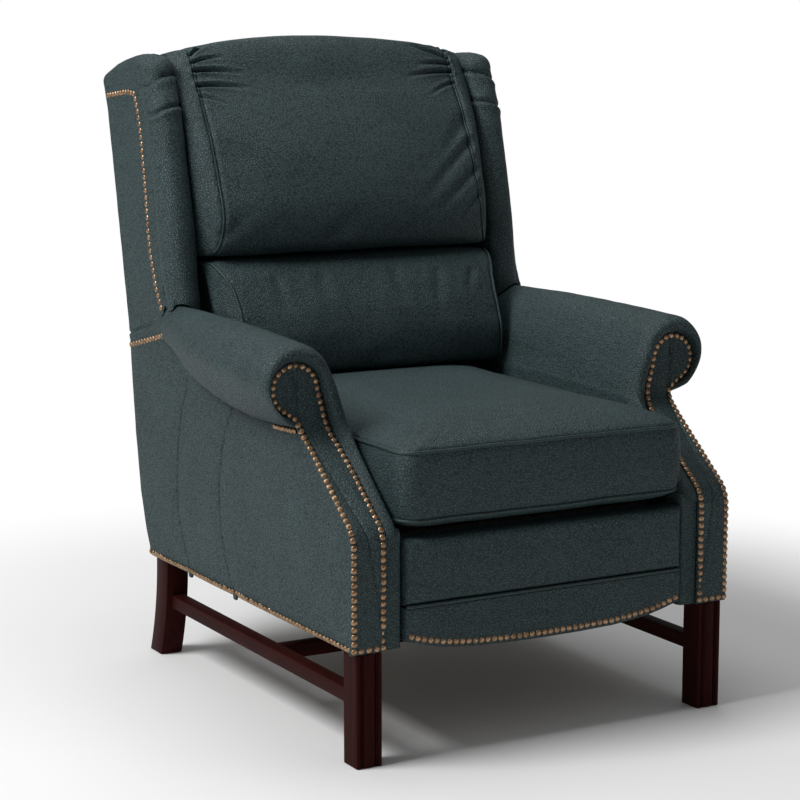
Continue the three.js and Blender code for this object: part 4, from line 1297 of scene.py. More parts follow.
def settled(skin: Array, hold: Callable[[Array], Array], most: float, cap_rows: int) -> Array:
    """Inflates a closed form as cloth and gives its skin the slack shape of a stuffed case.

    Args:
        skin: the form's rings, in millimetres.
        hold: gives the share, from 0 to 1, by which each point is held.
        most: how far a point may move.
        cap_rows: how many rings each end has.

    Returns:
        The rings, moved with the cloth.
    """
    voxel, pressure, frames = 6.0, 4.0, 20
    trial = shell("cloth_trial", skin, cap_rows=cap_rows)
    grid = trial.modifiers.new("grid", "REMESH")
    grid.mode, grid.voxel_size = "VOXEL", voxel * MM
    bake(trial)
    start = np.array([v.co[:] for v in trial.data.vertices])
    share = hold(start / MM - [0, FRONT_Y, 0])
    group = trial.vertex_groups.new(name="held")
    for level in range(1, 11):
        chosen = np.flatnonzero(np.round(share * 10) == level)
        if len(chosen):
            group.add(chosen.tolist(), level / 10, "REPLACE")
    cloth = trial.modifiers.new("cloth", "CLOTH")
    cloth.settings.quality = 4
    cloth.settings.use_pressure = True
    cloth.settings.uniform_pressure_force = pressure
    cloth.settings.effector_weights.gravity = 0
    cloth.settings.vertex_group_mass = "held"
    cloth.point_cache.frame_start, cloth.point_cache.frame_end = 1, frames
    scene = bpy.context.scene
    for number in range(1, frames + 1):
        scene.frame_set(number)
    graph = bpy.context.evaluated_depsgraph_get()
    puffed = np.array([v.co[:] for v in trial.evaluated_get(graph).data.vertices])
    scene.frame_set(1)
    move = (puffed - start) / MM
    size = np.linalg.norm(move, axis=1, keepdims=True)
    LOG.info("cloth: %d points moved up to %.1f mm", len(start), float(size.max()))
    move = move * most / (most + size)
    tree = kdtree.KDTree(len(start))
    for index, place in enumerate(start):
        tree.insert(place, index)
    tree.balance()
    bpy.data.objects.remove(trial)
    flat = skin.reshape(-1, 3)
    result = flat.copy()
    for index, point in enumerate((flat + [0, FRONT_Y, 0]) * MM):
        near = tree.find_n(point, 5)
        weights = np.array([1 / (n[2] + 0.001) ** 2 for n in near])
        result[index] += (move[[n[1] for n in near]] * weights[:, None]).sum(axis=0) / weights.sum()
    return result.reshape(skin.shape)


@dataclass
class SeatCushion:
    """The loose seat cushion: boxed sides between two welts, a crown above and a smaller one below."""

    half_x: float = 270.0
    front_y: float = -2.0
    rear_y: float = 686.0
    low_z: float = 383.3
    high_z: float = 492.5
    bottom_z: float = 362.5
    top_z: float = 530.0
    corner: float = 27.0
    draw_in: float = 4.0
    crown_reach: float = 150.0
    belly_reach: float = 70.0
    welt: float = 2.9

    def ring(self, inset: float, count: int = 420) -> Array:
        """The cushion's outline, drawn in by inset, with sides that pull in between the corners.

        Args:
            inset: how far to draw it in.
            count: how many points to return.

        Returns:
            Points (x, y), evenly spaced.
        """
        half_x, half_y = self.half_x - inset, (self.rear_y - self.front_y) / 2 - inset
        radius = min(self.corner + inset * 0.6, half_x - 1)
        flat = round_rect(half_x, half_y, radius, 9)
        loop = respace(np.vstack([flat, flat[:1]]), count + 1)[:-1]
        u, v = loop[:, 0] / half_x, loop[:, 1] / half_y
        loop[:, 0] -= 2.5 * u * np.clip(1 - v**2, 0, 1)
        loop[:, 1] -= 2.0 * v * np.clip(1 - u**2, 0, 1)
        loop[:, 1] += (self.front_y + self.rear_y) / 2
        return loop

    def seam_wave(self, loop: Array, seed: float) -> Array:
        """The small rise and fall of a welt round the cushion."""
        place = np.concatenate([loop, np.full((len(loop), 1), seed * 50)], axis=1)
        return 1.5 * ripple(place, 85, seed)

    def build(self) -> None:
        """Makes the cushion and its two welts."""
        layers = []
        for share in np.linspace(1, 0.06, 22):
            angle = share * math.pi / 2
            layers.append((self.low_z - (self.low_z - self.bottom_z) * math.sin(angle),
                           self.draw_in + self.belly_reach * (1 - math.cos(angle)) ** 0.9))
        layers.append((self.low_z, self.draw_in))
        for share in np.linspace(0.06, 0.94, 17):
            bulge = math.sin(share * math.pi) ** 0.55
            layers.append((self.low_z + (self.high_z - self.low_z) * share, self.draw_in * (1 - 1.5 * bulge)))
        layers.append((self.high_z, self.draw_in))
        for share in np.linspace(0.05, 1, 34):
            angle = share * math.pi / 2
            layers.append((self.high_z + (self.top_z - self.high_z) * math.sin(angle) ** 0.85,
                           self.draw_in + self.crown_reach * (1 - math.cos(angle)) ** 0.85))
        rings = []
        for z, inset in layers:
            loop = self.ring(inset)
            lift = self.seam_wave(loop, 3 if z > 440 else 9)
            rings.append(np.column_stack([loop, z + lift * (1 - min(1, abs(inset) / 80))]))
        skin = np.array(rings)
        middle = (0.0, (self.front_y + self.rear_y) / 2, 440.0)
        away = skin - middle
        away /= np.linalg.norm(away, axis=2, keepdims=True)
        soft = 2.2 * ripple(skin, 130, 21) + 0.8 * ripple(skin * [1, 1, 0.45], 42, 22)
        skin = skin + away * soft[..., None]
        skin = settled(skin, self.held, 8.0, 14)
        piece = shell("boxed_cushion", skin, cap_rows=14)
        dress(piece, Body.SEAT, LEATHER, ["seat_cushion"])
        for word, z, seed in (("upper", self.high_z, 3), ("lower", self.low_z, 9)):
            loop = self.ring(self.draw_in - 1.2, 560)
            path = np.column_stack([loop, z + self.seam_wave(loop, seed)])
            seat = snapped(piece, path, middle, self.welt * 0.35)
            dress(tube(f"cushion_welt_{word}", seat, self.welt, closed=True), Body.SEAT, PIPING)

    def held(self, points: Array) -> Array:
        """Holds the underside and, half, the two seams.

        Args:
            points: places in the cloth, in millimetres.

        Returns:
            The share by which each place is held.
        """
        z = points[:, 2]
        seams = np.exp(-((z - self.low_z) / 7) ** 2) + np.exp(-((z - self.high_z) / 7) ** 2)
        return np.clip(seams + (z < self.low_z - 3), 0, 1)


def snapped(piece: Piece, path: Array, middle: Sequence[float], proud: float) -> Array:
    """Lays a line on the skin of a piece.

    Args:
        piece: the piece that carries the line.
        path: the line, in millimetres.
        middle: a point inside the piece.
        proud: how far the line stands out of the skin.

    Returns:
        The line on the skin, smoothed.
    """
    found = []
    heart = Vector((middle[0], middle[1] + FRONT_Y, middle[2])) * MM
    for point in path:
        spot = Vector((point[0], point[1] + FRONT_Y, point[2])) * MM
        hit, place, normal, _ = piece.closest_point_on_mesh(spot)
        if not hit:
            place, normal = spot, (spot - heart).normalized()
        if normal.dot(spot - heart) < 0:
            normal = -normal
        rest = (place + normal * proud * MM) / MM
        found.append((rest.x, rest.y - FRONT_Y, rest.z))
    line = np.array(found)
    for _ in range(2):
        line = (np.roll(line, 1, 0) + 2 * line + np.roll(line, -1, 0)) / 4
    return line


@dataclass
class FootrestPanel:
    """The panel below the seat: an upholstered pad over a welt, and a nailed apron with an arched edge."""

    half: float = 264.5
    top: float = 355.0
    low: float = 251.4
    welt_z: float = 249.2
    front: float = -4.0
    back: float = 23.7
    lap: float = 37.5
    arch: tuple = ((0, 167), (66, 167.6), (128, 169.7), (170, 173.5), (202, 178), (230, 184.5), (250, 190.5),
                   (264.5, 194.5))
    nails: NailRow = field(default_factory=NailRow)

    def build(self) -> None:
        """Makes the pad, the welt, the apron and its nails."""
        self.face("panel_pad", lambda x: np.full_like(x, self.low), self.top, self.front + 1.5, 11.0, 4.0,
                  "footrest_pad", 60)
        apron = self.face("panel_apron", lambda x: read(self.arch, np.abs(x)), 247.2, self.front + 3.0, 4.0, 1.5,
                          "footrest_apron", 50)
        path = np.array([(x, self.front + 3.4, self.welt_z) for x in np.linspace(-self.half + 3, self.half - 3, 90)])
        dress(tube("panel_welt", path, 3.0), Body.FOOTREST, PIPING, ["footrest_welt"])
        line = np.array([(x, self.front, read(self.arch, abs(x)) + 9.5) for x in np.linspace(-254, 254, 300)])
        seat, facing = along_surface(apron, self.nails.paced(line), (0, -1, 0))
        self.nails.lay("apron_nails", seat, facing, Side.RIGHT, Body.FOOTREST)

    def face(self, name: str, lower: Callable[[Array], Array], upper: float, front: float, radius: float,
             swell: float, node: str, rows: int) -> Array:
        """A padded face with round edges.

        Args:
            name: the piece's name.
            lower: gives the lower edge's height at x.
            upper: the upper edge's height.
            front: where the face lies.
            radius: the radius of its edges.
            swell: how far its middle stands out.
            node: the frame node that it hides.
            rows: how many rows it has.

        Returns:
            The face's grid.
        """
        x = -self.half * np.cos(np.linspace(0, math.pi, 170))
        x = 0.55 * x + 0.45 * np.linspace(-self.half, self.half, 170)
        v = (1 - np.cos(np.linspace(0, math.pi, rows))) / 2
        v = 0.6 * v + 0.4 * np.linspace(0, 1, rows)
        low = lower(x)
        plane = np.stack([np.repeat(x[None], rows, 0), low[None] + v[:, None] * (upper - low)[None]], axis=2)
        edge = np.vstack([plane[0], plane[:, -1], plane[-1, ::-1], plane[::-1, 0]])
        near = nearest(plane, edge[::2])
        depth = front + rounded(near, radius) - swell * np.clip(near / 60, 0, 1) ** 0.6
        grid = np.stack([plane[..., 0], depth, plane[..., 1]], axis=2)
        grid[..., 1] += 0.7 * ripple(grid, 90, 31) + 0.3 * ripple(grid, 30, 32)
        back = grid.copy()
        back[..., 1] = np.where(grid[..., 2] > 348.2, self.lap, self.back)
        dress(slab(name, grid, back), Body.FOOTREST, LEATHER, [node])
        return grid


@dataclass
class Pillow:
    """A loose pillow on the inside back: a soft front between two piped seams, with a gusset at each side."""

    name: str
    node: str
    seam_x: float
    half_x: float
    seam: tuple
    side: tuple
    bottom: float
    crest: tuple
    crown: float
    puff: float = 7.0
    folds: tuple = ()
    spread: tuple = ((0, 0), (1, 0))
    flare: tuple = ((0, 0), (1, 0))
    rear_gap: float = 0.6
    seed: float = 40.0
    rows: int = 190

    def stations(self) -> Array:
        """The sections' places across the pillow, closer near the seams and in the gussets.

        Returns:
            The x of each section.
        """
        inner = np.sin(np.linspace(-math.pi / 2, math.pi / 2, 150)) * 0.35 + np.linspace(-1, 1, 150) * 0.65
        outer = self.seam_x + (self.half_x - self.seam_x) * np.linspace(0, 1, 26)[1:]
        return np.concatenate([-outer[::-1], inner * self.seam_x, outer])

    def front(self, x: float) -> Array:
        """The front's profile at x, as (y, z) points from the bottom up to the crest.

        Args:
            x: where the profile lies.

        Returns:
            The points, as many as rows.
        """
        count = self.rows
        out = min(abs(x) / self.seam_x, 1.0)
        past = max(0.0, (abs(x) - self.seam_x) / (self.half_x - self.seam_x))
        seam, side = spline(self.seam, count), spline(self.side, count)
        share = np.linspace(0, 1, count)
        line = seam + (side - seam) * past
        swell = self.crown * (1 - out**2.6) * np.clip(share / 0.09, 0, 1) ** 0.5 * np.cos(share * math.pi / 2) ** 0.6
        line[:, 0] -= swell + math.sin(past * math.pi) ** 0.7 * self.puff * np.sin(share * math.pi) ** 0.5
        rise = np.clip((share - 0.8) / 0.2, 0, 1)
        line[:, 1] += (read(self.crest, abs(x)) - line[-1, 1]) * rise**1.5
        return line

    def section(self, x: float) -> Array:
        """The whole closed section at x: front, over the crest, down the back and along the bottom.

        Args:
            x: where the section lies.

        Returns:
            Points (y, z) round the section.
        """
        front = self.front(x)
        y, z = front[-1]
        low = z - 30
        over = spline([(y, z), (y + 14, z + 0.5), (LINES.inside_y(z) - 14, z - 7),
                       (LINES.inside_y(low) - self.rear_gap, low)], 16)
        down = np.linspace(low, self.bottom + 1, 24)[1:]
        rear = np.stack([LINES.inside_y(down) - self.rear_gap, down], axis=1)
        under = np.linspace(rear[-1, 0], front[0, 0], 14)[1:-1]
        base = np.stack([under, np.full(len(under), self.bottom)], axis=1)
        return np.vstack([front, over[1:], rear, base])

    def room(self, points: Array) -> Array:
        """How far the ends stand past half_x: less beside the inside back, where the arms' rear edges pass.

        Args:
            points: places on the pillow.

        Returns:
            The distance at each place.
        """
        spread = read(self.spread, points[..., 2])
        beside = np.clip((points[..., 1] - LINES.inside_y(points[..., 2]) + 65) / 30, 0, 1)
        beside = beside * np.clip((648 - points[..., 2]) / 10, 0, 1)
        return spread * (1 - beside) + np.minimum(spread, -3.5) * beside

    def held(self, points: Array) -> Array:
        """Holds the two seams, the back and the bottom.

        Args:
            points: places in the cloth, in millimetres.

        Returns:
            The share by which each place is held.
        """
        seams = np.exp(-((np.abs(points[:, 0]) - self.seam_x) / 9) ** 2)
        behind = np.clip((points[:, 1] - LINES.inside_y(points[:, 2]) + 34) / 30, 0, 1)
        below = np.clip((self.bottom + 26 - points[:, 2]) / 24, 0, 1)
        limit = self.half_x + self.room(points)
        ends = np.clip((np.abs(points[:, 0]) - limit + 10) / 10, 0, 1)
        return np.clip(seams + behind + below + ends, 0, 1)

    def drawn(self, sheet: Array) -> Array:
        """How deep the seams and the folds lie, by place on the flat sheet (x, length from the bottom).

        Args:
            sheet: places on the flat sheet.

        Returns:
            The depth at each place.
        """
        drop = sum(crease(np.abs(sheet[..., 0] - sign * self.seam_x), 4.5, 4.5) for sign in (-1, 1))
        for x0, s0, x1, s1, width, depth in self.folds:
            line = np.array([(x0, s0), (x0 * 0.6 + x1 * 0.4, s0 * 0.58 + s1 * 0.42 + 3), (x1, s1)], float)
            gap = nearest(sheet, spline(line, 24))
            reach = math.hypot(x1 - x0, s1 - s0)
            away = np.clip(np.hypot(sheet[..., 0] - x0, sheet[..., 1] - s0) / reach, 0, 1)
            drop += crease(gap, width, depth) * (1 - away**1.5)
            drop -= crease(gap - width * 2.0, width * 0.9, depth * 0.35) * (1 - away)
        return drop

    def build(self) -> None:
        """Makes the pillow and the piping on its two seams."""
        stations = self.stations()
        skin = np.array([np.insert(self.section(x), 0, x, axis=1) for x in stations])
        past = np.clip((np.abs(stations) - self.seam_x) / (self.half_x - self.seam_x), 0, 1) * np.sign(stations)
        skin[..., 0] += past[:, None] * self.room(skin)
        near = np.where(past == 0, np.sign(stations) * (np.abs(stations) / self.seam_x) ** 8, np.sign(past) - past)
        skin[..., 0] += near[:, None] * read(self.flare, skin[..., 2])
        skin = settled(skin, self.held, 9.0, 6)
        faced = self.rows + 16
        steps = np.linalg.norm(np.diff(skin[len(stations) // 2, :faced], axis=0), axis=1)
        run = np.concatenate([[0], np.cumsum(steps)])
        sheet = np.stack(np.meshgrid(stations, run, indexing="ij"), axis=2)
        heart = np.array([0, float(LINES.inside_y(skin[..., 2].mean())) - 25, skin[..., 2].mean()])
        normal = normals_out(skin, skin - heart)
        soft = 2.4 * ripple(skin, 120, self.seed) + 1.1 * ripple(skin * [0.6, 1, 1], 42, self.seed + 1)
        level = np.zeros(skin.shape[:2])
        level[:, :faced] = soft[:, :faced] - self.drawn(sheet)
        fade = np.clip((self.half_x - np.abs(stations)) / 12, 0, 1)[:, None]
        skin = skin + normal * (level * np.maximum(fade, 0.1))[..., None]
        piece = shell(self.name, skin, cap_rows=6)
        dress(piece, Body.BACK, LEATHER, [self.node])
        for side in Side:
            column = int(np.argmin(np.abs(stations - self.seam_x * side.value)))
            line = respace(skin[column, :faced - 8], 170) + normal[column, 60] * 1.5
            dress(tube(f"{self.name}_piping_{side.word}", line, 2.3), Body.BACK, PIPING)


def headrest() -> Pillow:
    """The large upper pillow, which rolls over the top of the back and is gathered at its top corners.

    Returns:
        The pillow, not yet built.
    """
    folds = []
    left = ((444, 470, 58, 3.6, 6.5), (422, 426, 66, 3.8, 7.5), (400, 386, 98, 4.2, 9.0), (364, 354, 104, 4.0, 8.0),
            (340, 316, 60, 3.4, 3.5))
    right = ((452, 474, 54, 3.6, 6.5), (428, 452, 84, 4.0, 8.5), (412, 404, 76, 3.8, 7.5), (392, 376, 104, 4.2, 9.0),
             (364, 330, 70, 3.6, 5.0))
    for x, corner in ((-266, left), (266, right)):
        folds += [(x, s0, x - math.copysign(reach, x), s1, width, depth) for s0, s1, reach, width, depth in corner]
    folds += [(266, 232, 130, 120, 9, 5.4), (266, 176, 160, 96, 7.5, 5.0), (266, 128, 196, 66, 6, 4.2),
              (266, 280, 190, 196, 12, 3.0), (-262, 70, -200, 120, 12, 2.4), (-60, 60, 20, 116, 16, 2.2)]
    return Pillow("headrest_cushion", "headrest_pillow", 266, 302.3,
                  ((676, 741.6), (663, 744), (653, 752), (647, 766), (644, 786), (644, 808), (648, 833), (664, 879),
                   (683, 925), (705, 970), (731, 1015), (752, 1046), (770, 1078), (788, 1104)),
                  ((704, 741.6), (698, 748), (692, 762), (690, 786), (695, 838), (706, 890), (720, 942), (739, 994),
                   (765, 1045), (790, 1078), (806, 1092)),
                  741.5, ((0, 1127), (43, 1127), (121, 1124), (200, 1117), (250, 1108), (302, 1097)), 18.0, 10.0,
                  tuple(folds), flare=((741, 17), (752, 12), (768, 6), (790, 2), (812, 0)), seed=40.0)


def lumbar() -> Pillow:
    """The lower pillow, behind the seat.

    Returns:
        The pillow, not yet built.
    """
    folds = ((-180, 200, -176, 130, 10, 2.8), (-90, 205, -96, 120, 12, 2.4), (60, 205, 66, 135, 12, 2.4),
             (150, 200, 130, 110, 11, 3.0), (225, 200, 205, 150, 8, 3.2), (-20, 30, 40, 60, 18, 1.8))
    return Pillow("lumbar_cushion", "lumbar_pillow", 264, 271.0,
                  ((588, 532.4), (577, 536), (569, 548), (566, 572), (568, 603), (575, 623), (583, 645), (594, 666),
                   (606, 687), (622, 707), (642, 724), (662, 734)),
                  ((640, 532.4), (631, 540), (625, 552), (622, 575), (625, 605), (633, 628), (644, 650), (656, 672),
                   (667, 694), (677, 712), (685, 724), (692, 731)),
                  532.2, ((0, 736), (200, 736), (250, 734), (268, 731)), 11.0, 4.0, folds,
                  ((532, -2.5), (560, -2), (598, -1), (622, 11), (650, 18), (720, 20), (736, 20)),
                  ((660, 0), (690, 4), (712, 12), (736, 22)), seed=50.0)


@dataclass
class Wing:
    """A wing of the back: a flat outside panel with its nails, and a padded roll down its front."""

    side: Side
    inner_x: float = 303.2
    outer_x: float = 357.0
    roll_x: float = 364.0
    top: tuple = ((736, 1080), (748, 1091), (766, 1096), (800, 1098), (834, 1097), (864, 1094), (895, 1089),
                  (930, 1081), (960, 1071), (990, 1061))
    bottom: tuple = ((640, 669), (690, 667), (704, 662), (712, 640), (733, 630), (769, 619), (849, 598), (905, 585))
    front: tuple = ((660, 648), (668, 649), (700, 657), (735, 662), (786, 668), (838, 679), (890, 692), (914, 699),
                    (960, 709), (1005, 722), (1040, 738), (1060, 749), (1100, 766))
    seam: tuple = ((600, 672), (658, 690), (700, 712), (735, 722), (769, 729), (834, 742), (888, 751), (942, 763),
                   (996, 778), (1041, 804), (1100, 830))
    nail_line: tuple = ((722, 650), (744, 686), (766, 745), (779, 821), (787, 886), (802, 962), (820, 1011),
                        (829, 1027), (850, 1029), (880, 1028), (950, 1021))
    reach_z: tuple = (585.0, 1062.0)
    nails: NailRow = field(default_factory=NailRow)

    def section(self, z: float) -> Array:
        """The wing's outline at height z, as (x, y) from the rear of the outside round to the rear inside.

        Args:
            z: the height.

        Returns:
            Points (x, y) round the outline.
        """
        front, seam = float(read(self.front, z)), float(read(self.seam, z))
        rear = float(LINES.rear_y(z)) - 1.0
        outer, inner = self.outer_x, self.inner_x
        flat = [(outer, rear + (seam + 3 - rear) * s) for s in np.linspace(0, 1, 40)]
        knots = [(outer - 1.5, seam), (outer + 3.0, seam - 6), (self.roll_x, seam - 20), (self.roll_x - 1, seam - 34),
                 (outer - 2, front + 9), (342, front), (322, front + 1), (308, front + 11), (inner, front + 30)]
        roll = spline(knots, 64)
        back = [(inner, front + 30 + (rear - front - 30) * s) for s in np.linspace(0, 1, 30)[1:]]
        close = [(inner + (outer - inner) * s, rear) for s in np.linspace(0, 1, 12)[1:-1]]
        return np.vstack([flat, roll, back, close])

    def floor(self, loop: Array) -> Array:
        """The wing's lower edge: just clear of the rolled arm in front, and higher than the arm's end behind.

        Args:
            loop: the wing's outline.

        Returns:
            The height of the lower edge at each point of it.
        """
        over = Arm(self.side).top_at(loop[:, 0], loop[:, 1]) + 4.5
        behind = read(self.bottom, np.maximum(loop[:, 1], 704))
        share = np.clip((loop[:, 1] - 699) / 5, 0, 1)
        return over * (1 - share) + behind * share

    @staticmethod
    def between(table: Array, levels: Array, z: Array) -> Array:
        """Picks each point of an outline at its own height, from outlines at known heights.

        Args:
            table: the outlines, by height.
            levels: their heights.
            z: the height of each point.

        Returns:
            The outline, each point at its own height.
        """
        share = (z - levels[0]) / (levels[1] - levels[0])
        low = np.clip(share.astype(int), 0, len(levels) - 2)
        part = (share - low)[:, None]
        order = np.arange(len(z))
        return table[low, order] * (1 - part) + table[low + 1, order] * part

    def build(self) -> None:
        """Makes the wing and lays its nails."""
        rows = 150
        levels = np.linspace(*self.reach_z, 90)
        table = np.array([self.section(float(level)) for level in levels])
        rings = []
        for t in np.linspace(0, 1, rows):
            loop = self.section(min(640 + 450 * t, levels[-1]))
            low = self.floor(loop)
            high = read(self.top, loop[:, 1])
            z = low + (high - low) * t
            fine = self.between(table, levels, np.clip(z, *self.reach_z))
            low = self.floor(fine)
            high = read(self.top, fine[:, 1])
            z = low + (high - low) * t
            gap = np.minimum(high - z, z - low + 400)
            round_top = np.clip(1 - gap / 26, 0, 1)
            inset = 1 - np.sqrt(1 - round_top**2 * 0.985)
            middle = (self.inner_x + self.outer_x) / 2
            x = middle + (fine[:, 0] - middle) * (1 - inset * 0.93)
            y = fine[:, 1] + 20 * inset * np.clip(1 - (fine[:, 1] - fine[:, 1].min()) / 90, 0, 1)
            rings.append(np.column_stack([x, y, z]))
        skin = np.array(rings)
        normal = normals_out(skin, skin - skin.mean(axis=1, keepdims=True))
        side_view = skin[..., 1:]
        drop = np.zeros(skin.shape[:2])
        outside = np.clip((skin[..., 0] - 335) / 12, 0, 1)
        above = [(829, 1043), (850, 1045), (890, 1043), (960, 1036)]
        fold = [(read(self.seam, z) - 2, z) for z in np.linspace(630, 1035, 60)]
        for line, width, depth in ((above, 3.0, 2.4), (fold, 4.2, 4.6)):
            drop += crease(nearest(side_view, np.array(line, float)), width, depth) * outside
        ahead = np.clip(1 - (skin[..., 1] - read(self.seam, skin[..., 2]) + 6) / 10, 0, 1)
        for outer_z, inner_z, depth in ((1041, 1062, 5.0), (992, 1008, 5.4)):
            share = np.clip((skin[..., 0] - self.inner_x) / 58, 0, 1)
            line = inner_z + (outer_z - inner_z) * share**3
            drop += crease(skin[..., 2] - line, 3.2, depth) * ahead
            drop -= crease(skin[..., 2] - line + 9, 6.0, depth * 0.35) * ahead
        soft = 1.0 * ripple(skin, 110, 60 + self.side.value) + 0.5 * ripple(skin, 34, 61)
        fade = np.clip(np.minimum(np.arange(rows), rows - 1 - np.arange(rows)) / 6, 0, 1)[:, None]
        skin = skin + normal * ((soft - drop) * fade)[..., None]
        piece = shell(f"padded_wing_{self.side.word}", skin, self.side, cap_rows=3)
        dress(piece, Body.BACK, LEATHER, [f"wing_{self.side.word}"])
        path = respace(np.array([(self.outer_x, y, z) for y, z in self.nail_line], float), 700)
        seat, facing = along_surface(skin[:, 2:42], self.nails.paced(path), (1, 0, 0))
        self.nails.lay(f"wing_nails_{self.side.word}", seat, facing, self.side, Body.BACK)
        self.gathers()

    def gathers(self) -> None:
        """The leather that is gathered between the arm's rear end and the wing, and folds away under it."""
        rings = []
        for y in np.linspace(702, 867, 180):
            ends = float(np.clip((y - 702) / 16, 0, 1)) ** 0.5
            low = read(((704, 606), (740, 604), (771, 597), (810, 587), (858, 573)), y)
            high = read(self.bottom, y) + 3.5
            share = np.linspace(0, 1, 26)
            fold = crease(share - 0.62 - 0.05 * math.sin(y / 31), 0.1, 3.4) * float(np.clip((y - 712) / 60, 0, 1))
            soft = 0.7 * math.sin(y / 9.5) + 0.5 * math.sin(y / 23 + 1)
            outer = 346 + ends * (9.5 + 2.0 * np.sin(share * math.pi) + soft * share) - fold
            lean = 6 * share * (high - low) / 40
            front = np.stack([outer, y + lean, low + (high - low) * share], axis=1)
            back = np.stack([np.full(6, 318.0), y + lean[-1] * np.linspace(1, 0, 6),
                             high + (low - high) * np.linspace(0, 1, 6)], axis=1)
            rings.append(np.vstack([front, back]))
        piece = shell(f"gathered_tuck_{self.side.word}", np.array(rings), self.side)
        dress(piece, Body.BASE, LEATHER)
        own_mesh(piece)


@dataclass
class BackShell:
    """The inside back that the pillows lie on, and the outside back that closes the chair from behind."""

    half_low: float = 267.5
    half_high: float = 356.5
    shoulder: float = 593.0
    low: float = 198.5
    top: float = 1063.0
    bow_from: float = 1000.0
    corner: float = 26.0

    def build(self) -> None:
        """Makes both panels."""
        self.outside()
        self.inside()

    def outside(self) -> None:
        """The outside back: one tight skin with a welted edge, narrower between the arms."""
        rows, columns = 240, 120
        z = np.linspace(self.low, self.top, rows)
        half = np.where(z < self.shoulder, self.half_low, self.half_high)
        u = np.linspace(-1, 1, columns)
        grid = np.zeros((rows, columns, 3))
        grid[..., 0] = half[:, None] * u[None]
        high = np.clip((z - self.bow_from) / (self.top - self.bow_from), 0, 1)[:, None]
        grid[..., 2] = z[:, None] + high * 28 * (1 - u[None] ** 2)
        past = np.clip(np.abs(grid[..., 0]) - (self.half_high - self.corner), 0, self.corner)
        grid[..., 2] -= (self.corner - np.sqrt(self.corner**2 - past**2)) * 0.9 * high
        near = np.minimum((1 - np.abs(u))[None] * half[:, None], np.minimum(z - self.low, self.top - z)[:, None])
        step = np.where((np.abs(grid[..., 0]) > self.half_low), np.abs(grid[..., 2] - self.shoulder), 1e3)
        near = np.minimum(near, step)
        grid[..., 1] = LINES.rear_y(grid[..., 2]) - rounded(near, 6.0) + 2.5 * np.clip(near / 90, 0, 1) ** 0.6
        grid[..., 1] += 0.8 * ripple(grid, 130, 71) + 0.3 * ripple(grid, 40, 72)
        back = grid.copy()
        back[..., 1] = LINES.rear_y(grid[..., 2]) - 12.0
        dress(slab("outside_back_skin", grid, back), Body.BACK, LEATHER, ["outside_back"])

    def inside(self) -> None:
        """The inside back, whose front is mostly covered by the pillows."""
        rows, columns = 120, 90
        z = np.linspace(350.5, 1069.0, rows)
        half = read(((350, 245.5), (433, 245.5), (437, 267.5), (640, 267.5), (652, 301.8), (1100, 301.8)), z)
        u = np.linspace(-1, 1, columns)
        grid = np.zeros((rows, columns, 3))
        grid[..., 0] = half[:, None] * u[None]
        high = np.clip((z - self.bow_from) / (z[-1] - self.bow_from), 0, 1)[:, None]
        grid[..., 2] = z[:, None] + high * 27 * (1 - u[None] ** 2)
        near = np.minimum((1 - np.abs(u))[None] * half[:, None], np.minimum(z - 350, 1070 - z)[:, None])
        grid[..., 1] = LINES.inside_y(grid[..., 2]) + rounded(near, 8.0)
        back = grid.copy()
        rear = LINES.rear_y(grid[..., 2]) - 12.6
        back[..., 1] = np.where(grid[..., 2] > 1034.5, rear, rear - 45.3)
        dress(slab("inside_back_skin", grid, back), Body.BACK, LEATHER, ["inside_back"])


@dataclass
class RailCover:
    """The leather that is pulled over the seat's front rail, which shows in the gap under the cushion."""

    skin: float = 1.4

    def build(self) -> None:
        """Makes the cover, open below."""
        low, high = node_box("seat_front_rail")
        x0, y0, z0 = low - self.skin
        x1, y1, z1 = high + self.skin
        outer = [(y0, z0 + 4), (y0, z1 - 5), (y0 + 1.5, z1 - 1.5), (y0 + 5, z1), (y1 - 5, z1), (y1 - 1.5, z1 - 1.5),
                 (y1, z1 - 5), (y1, z1 - 12)]
        wall = self.skin - 0.3
        inner = [(min(max(y, y0 + wall), y1 - wall), min(z, z1 - wall)) for y, z in outer]
        ring = np.array(outer + inner[::-1])
        rings = [np.insert(ring, 0, x, axis=1) for x in np.linspace(x0 + 1, x1 - 1, 60)]
        dress(shell("front_rail_cover", np.array(rings), cap_rows=1), Body.SEAT, LEATHER)


@dataclass
class Carcass:
    """The hidden frame and the metalwork: rails, posts, plates, links, springs and the deck under the cushion."""

    finishes: tuple = (POPLAR, BLACK_STEEL, SPRING_STEEL, DECKING, LEATHER, MAHOGANY)

    def build(self) -> None:
        """Gives every frame node its finish; the back's posts are covered, as the open back shows their sides."""
        known = {finish.slot: finish for finish in self.finishes}
        for part in frame["record"]["subparts"]:
            piece = frame["nodes"][part["node"]]
            finish = LEATHER if part["node"].startswith("back_post") else known[part["material_slot"]]
            made = finish.material()
            if not piece.material_slots:
                piece.data.materials.append(made)
            for slot in piece.material_slots:
                slot.link = "OBJECT"
                slot.material = made
            LOG.info("%s: finished as %s", part["node"], finish.name)


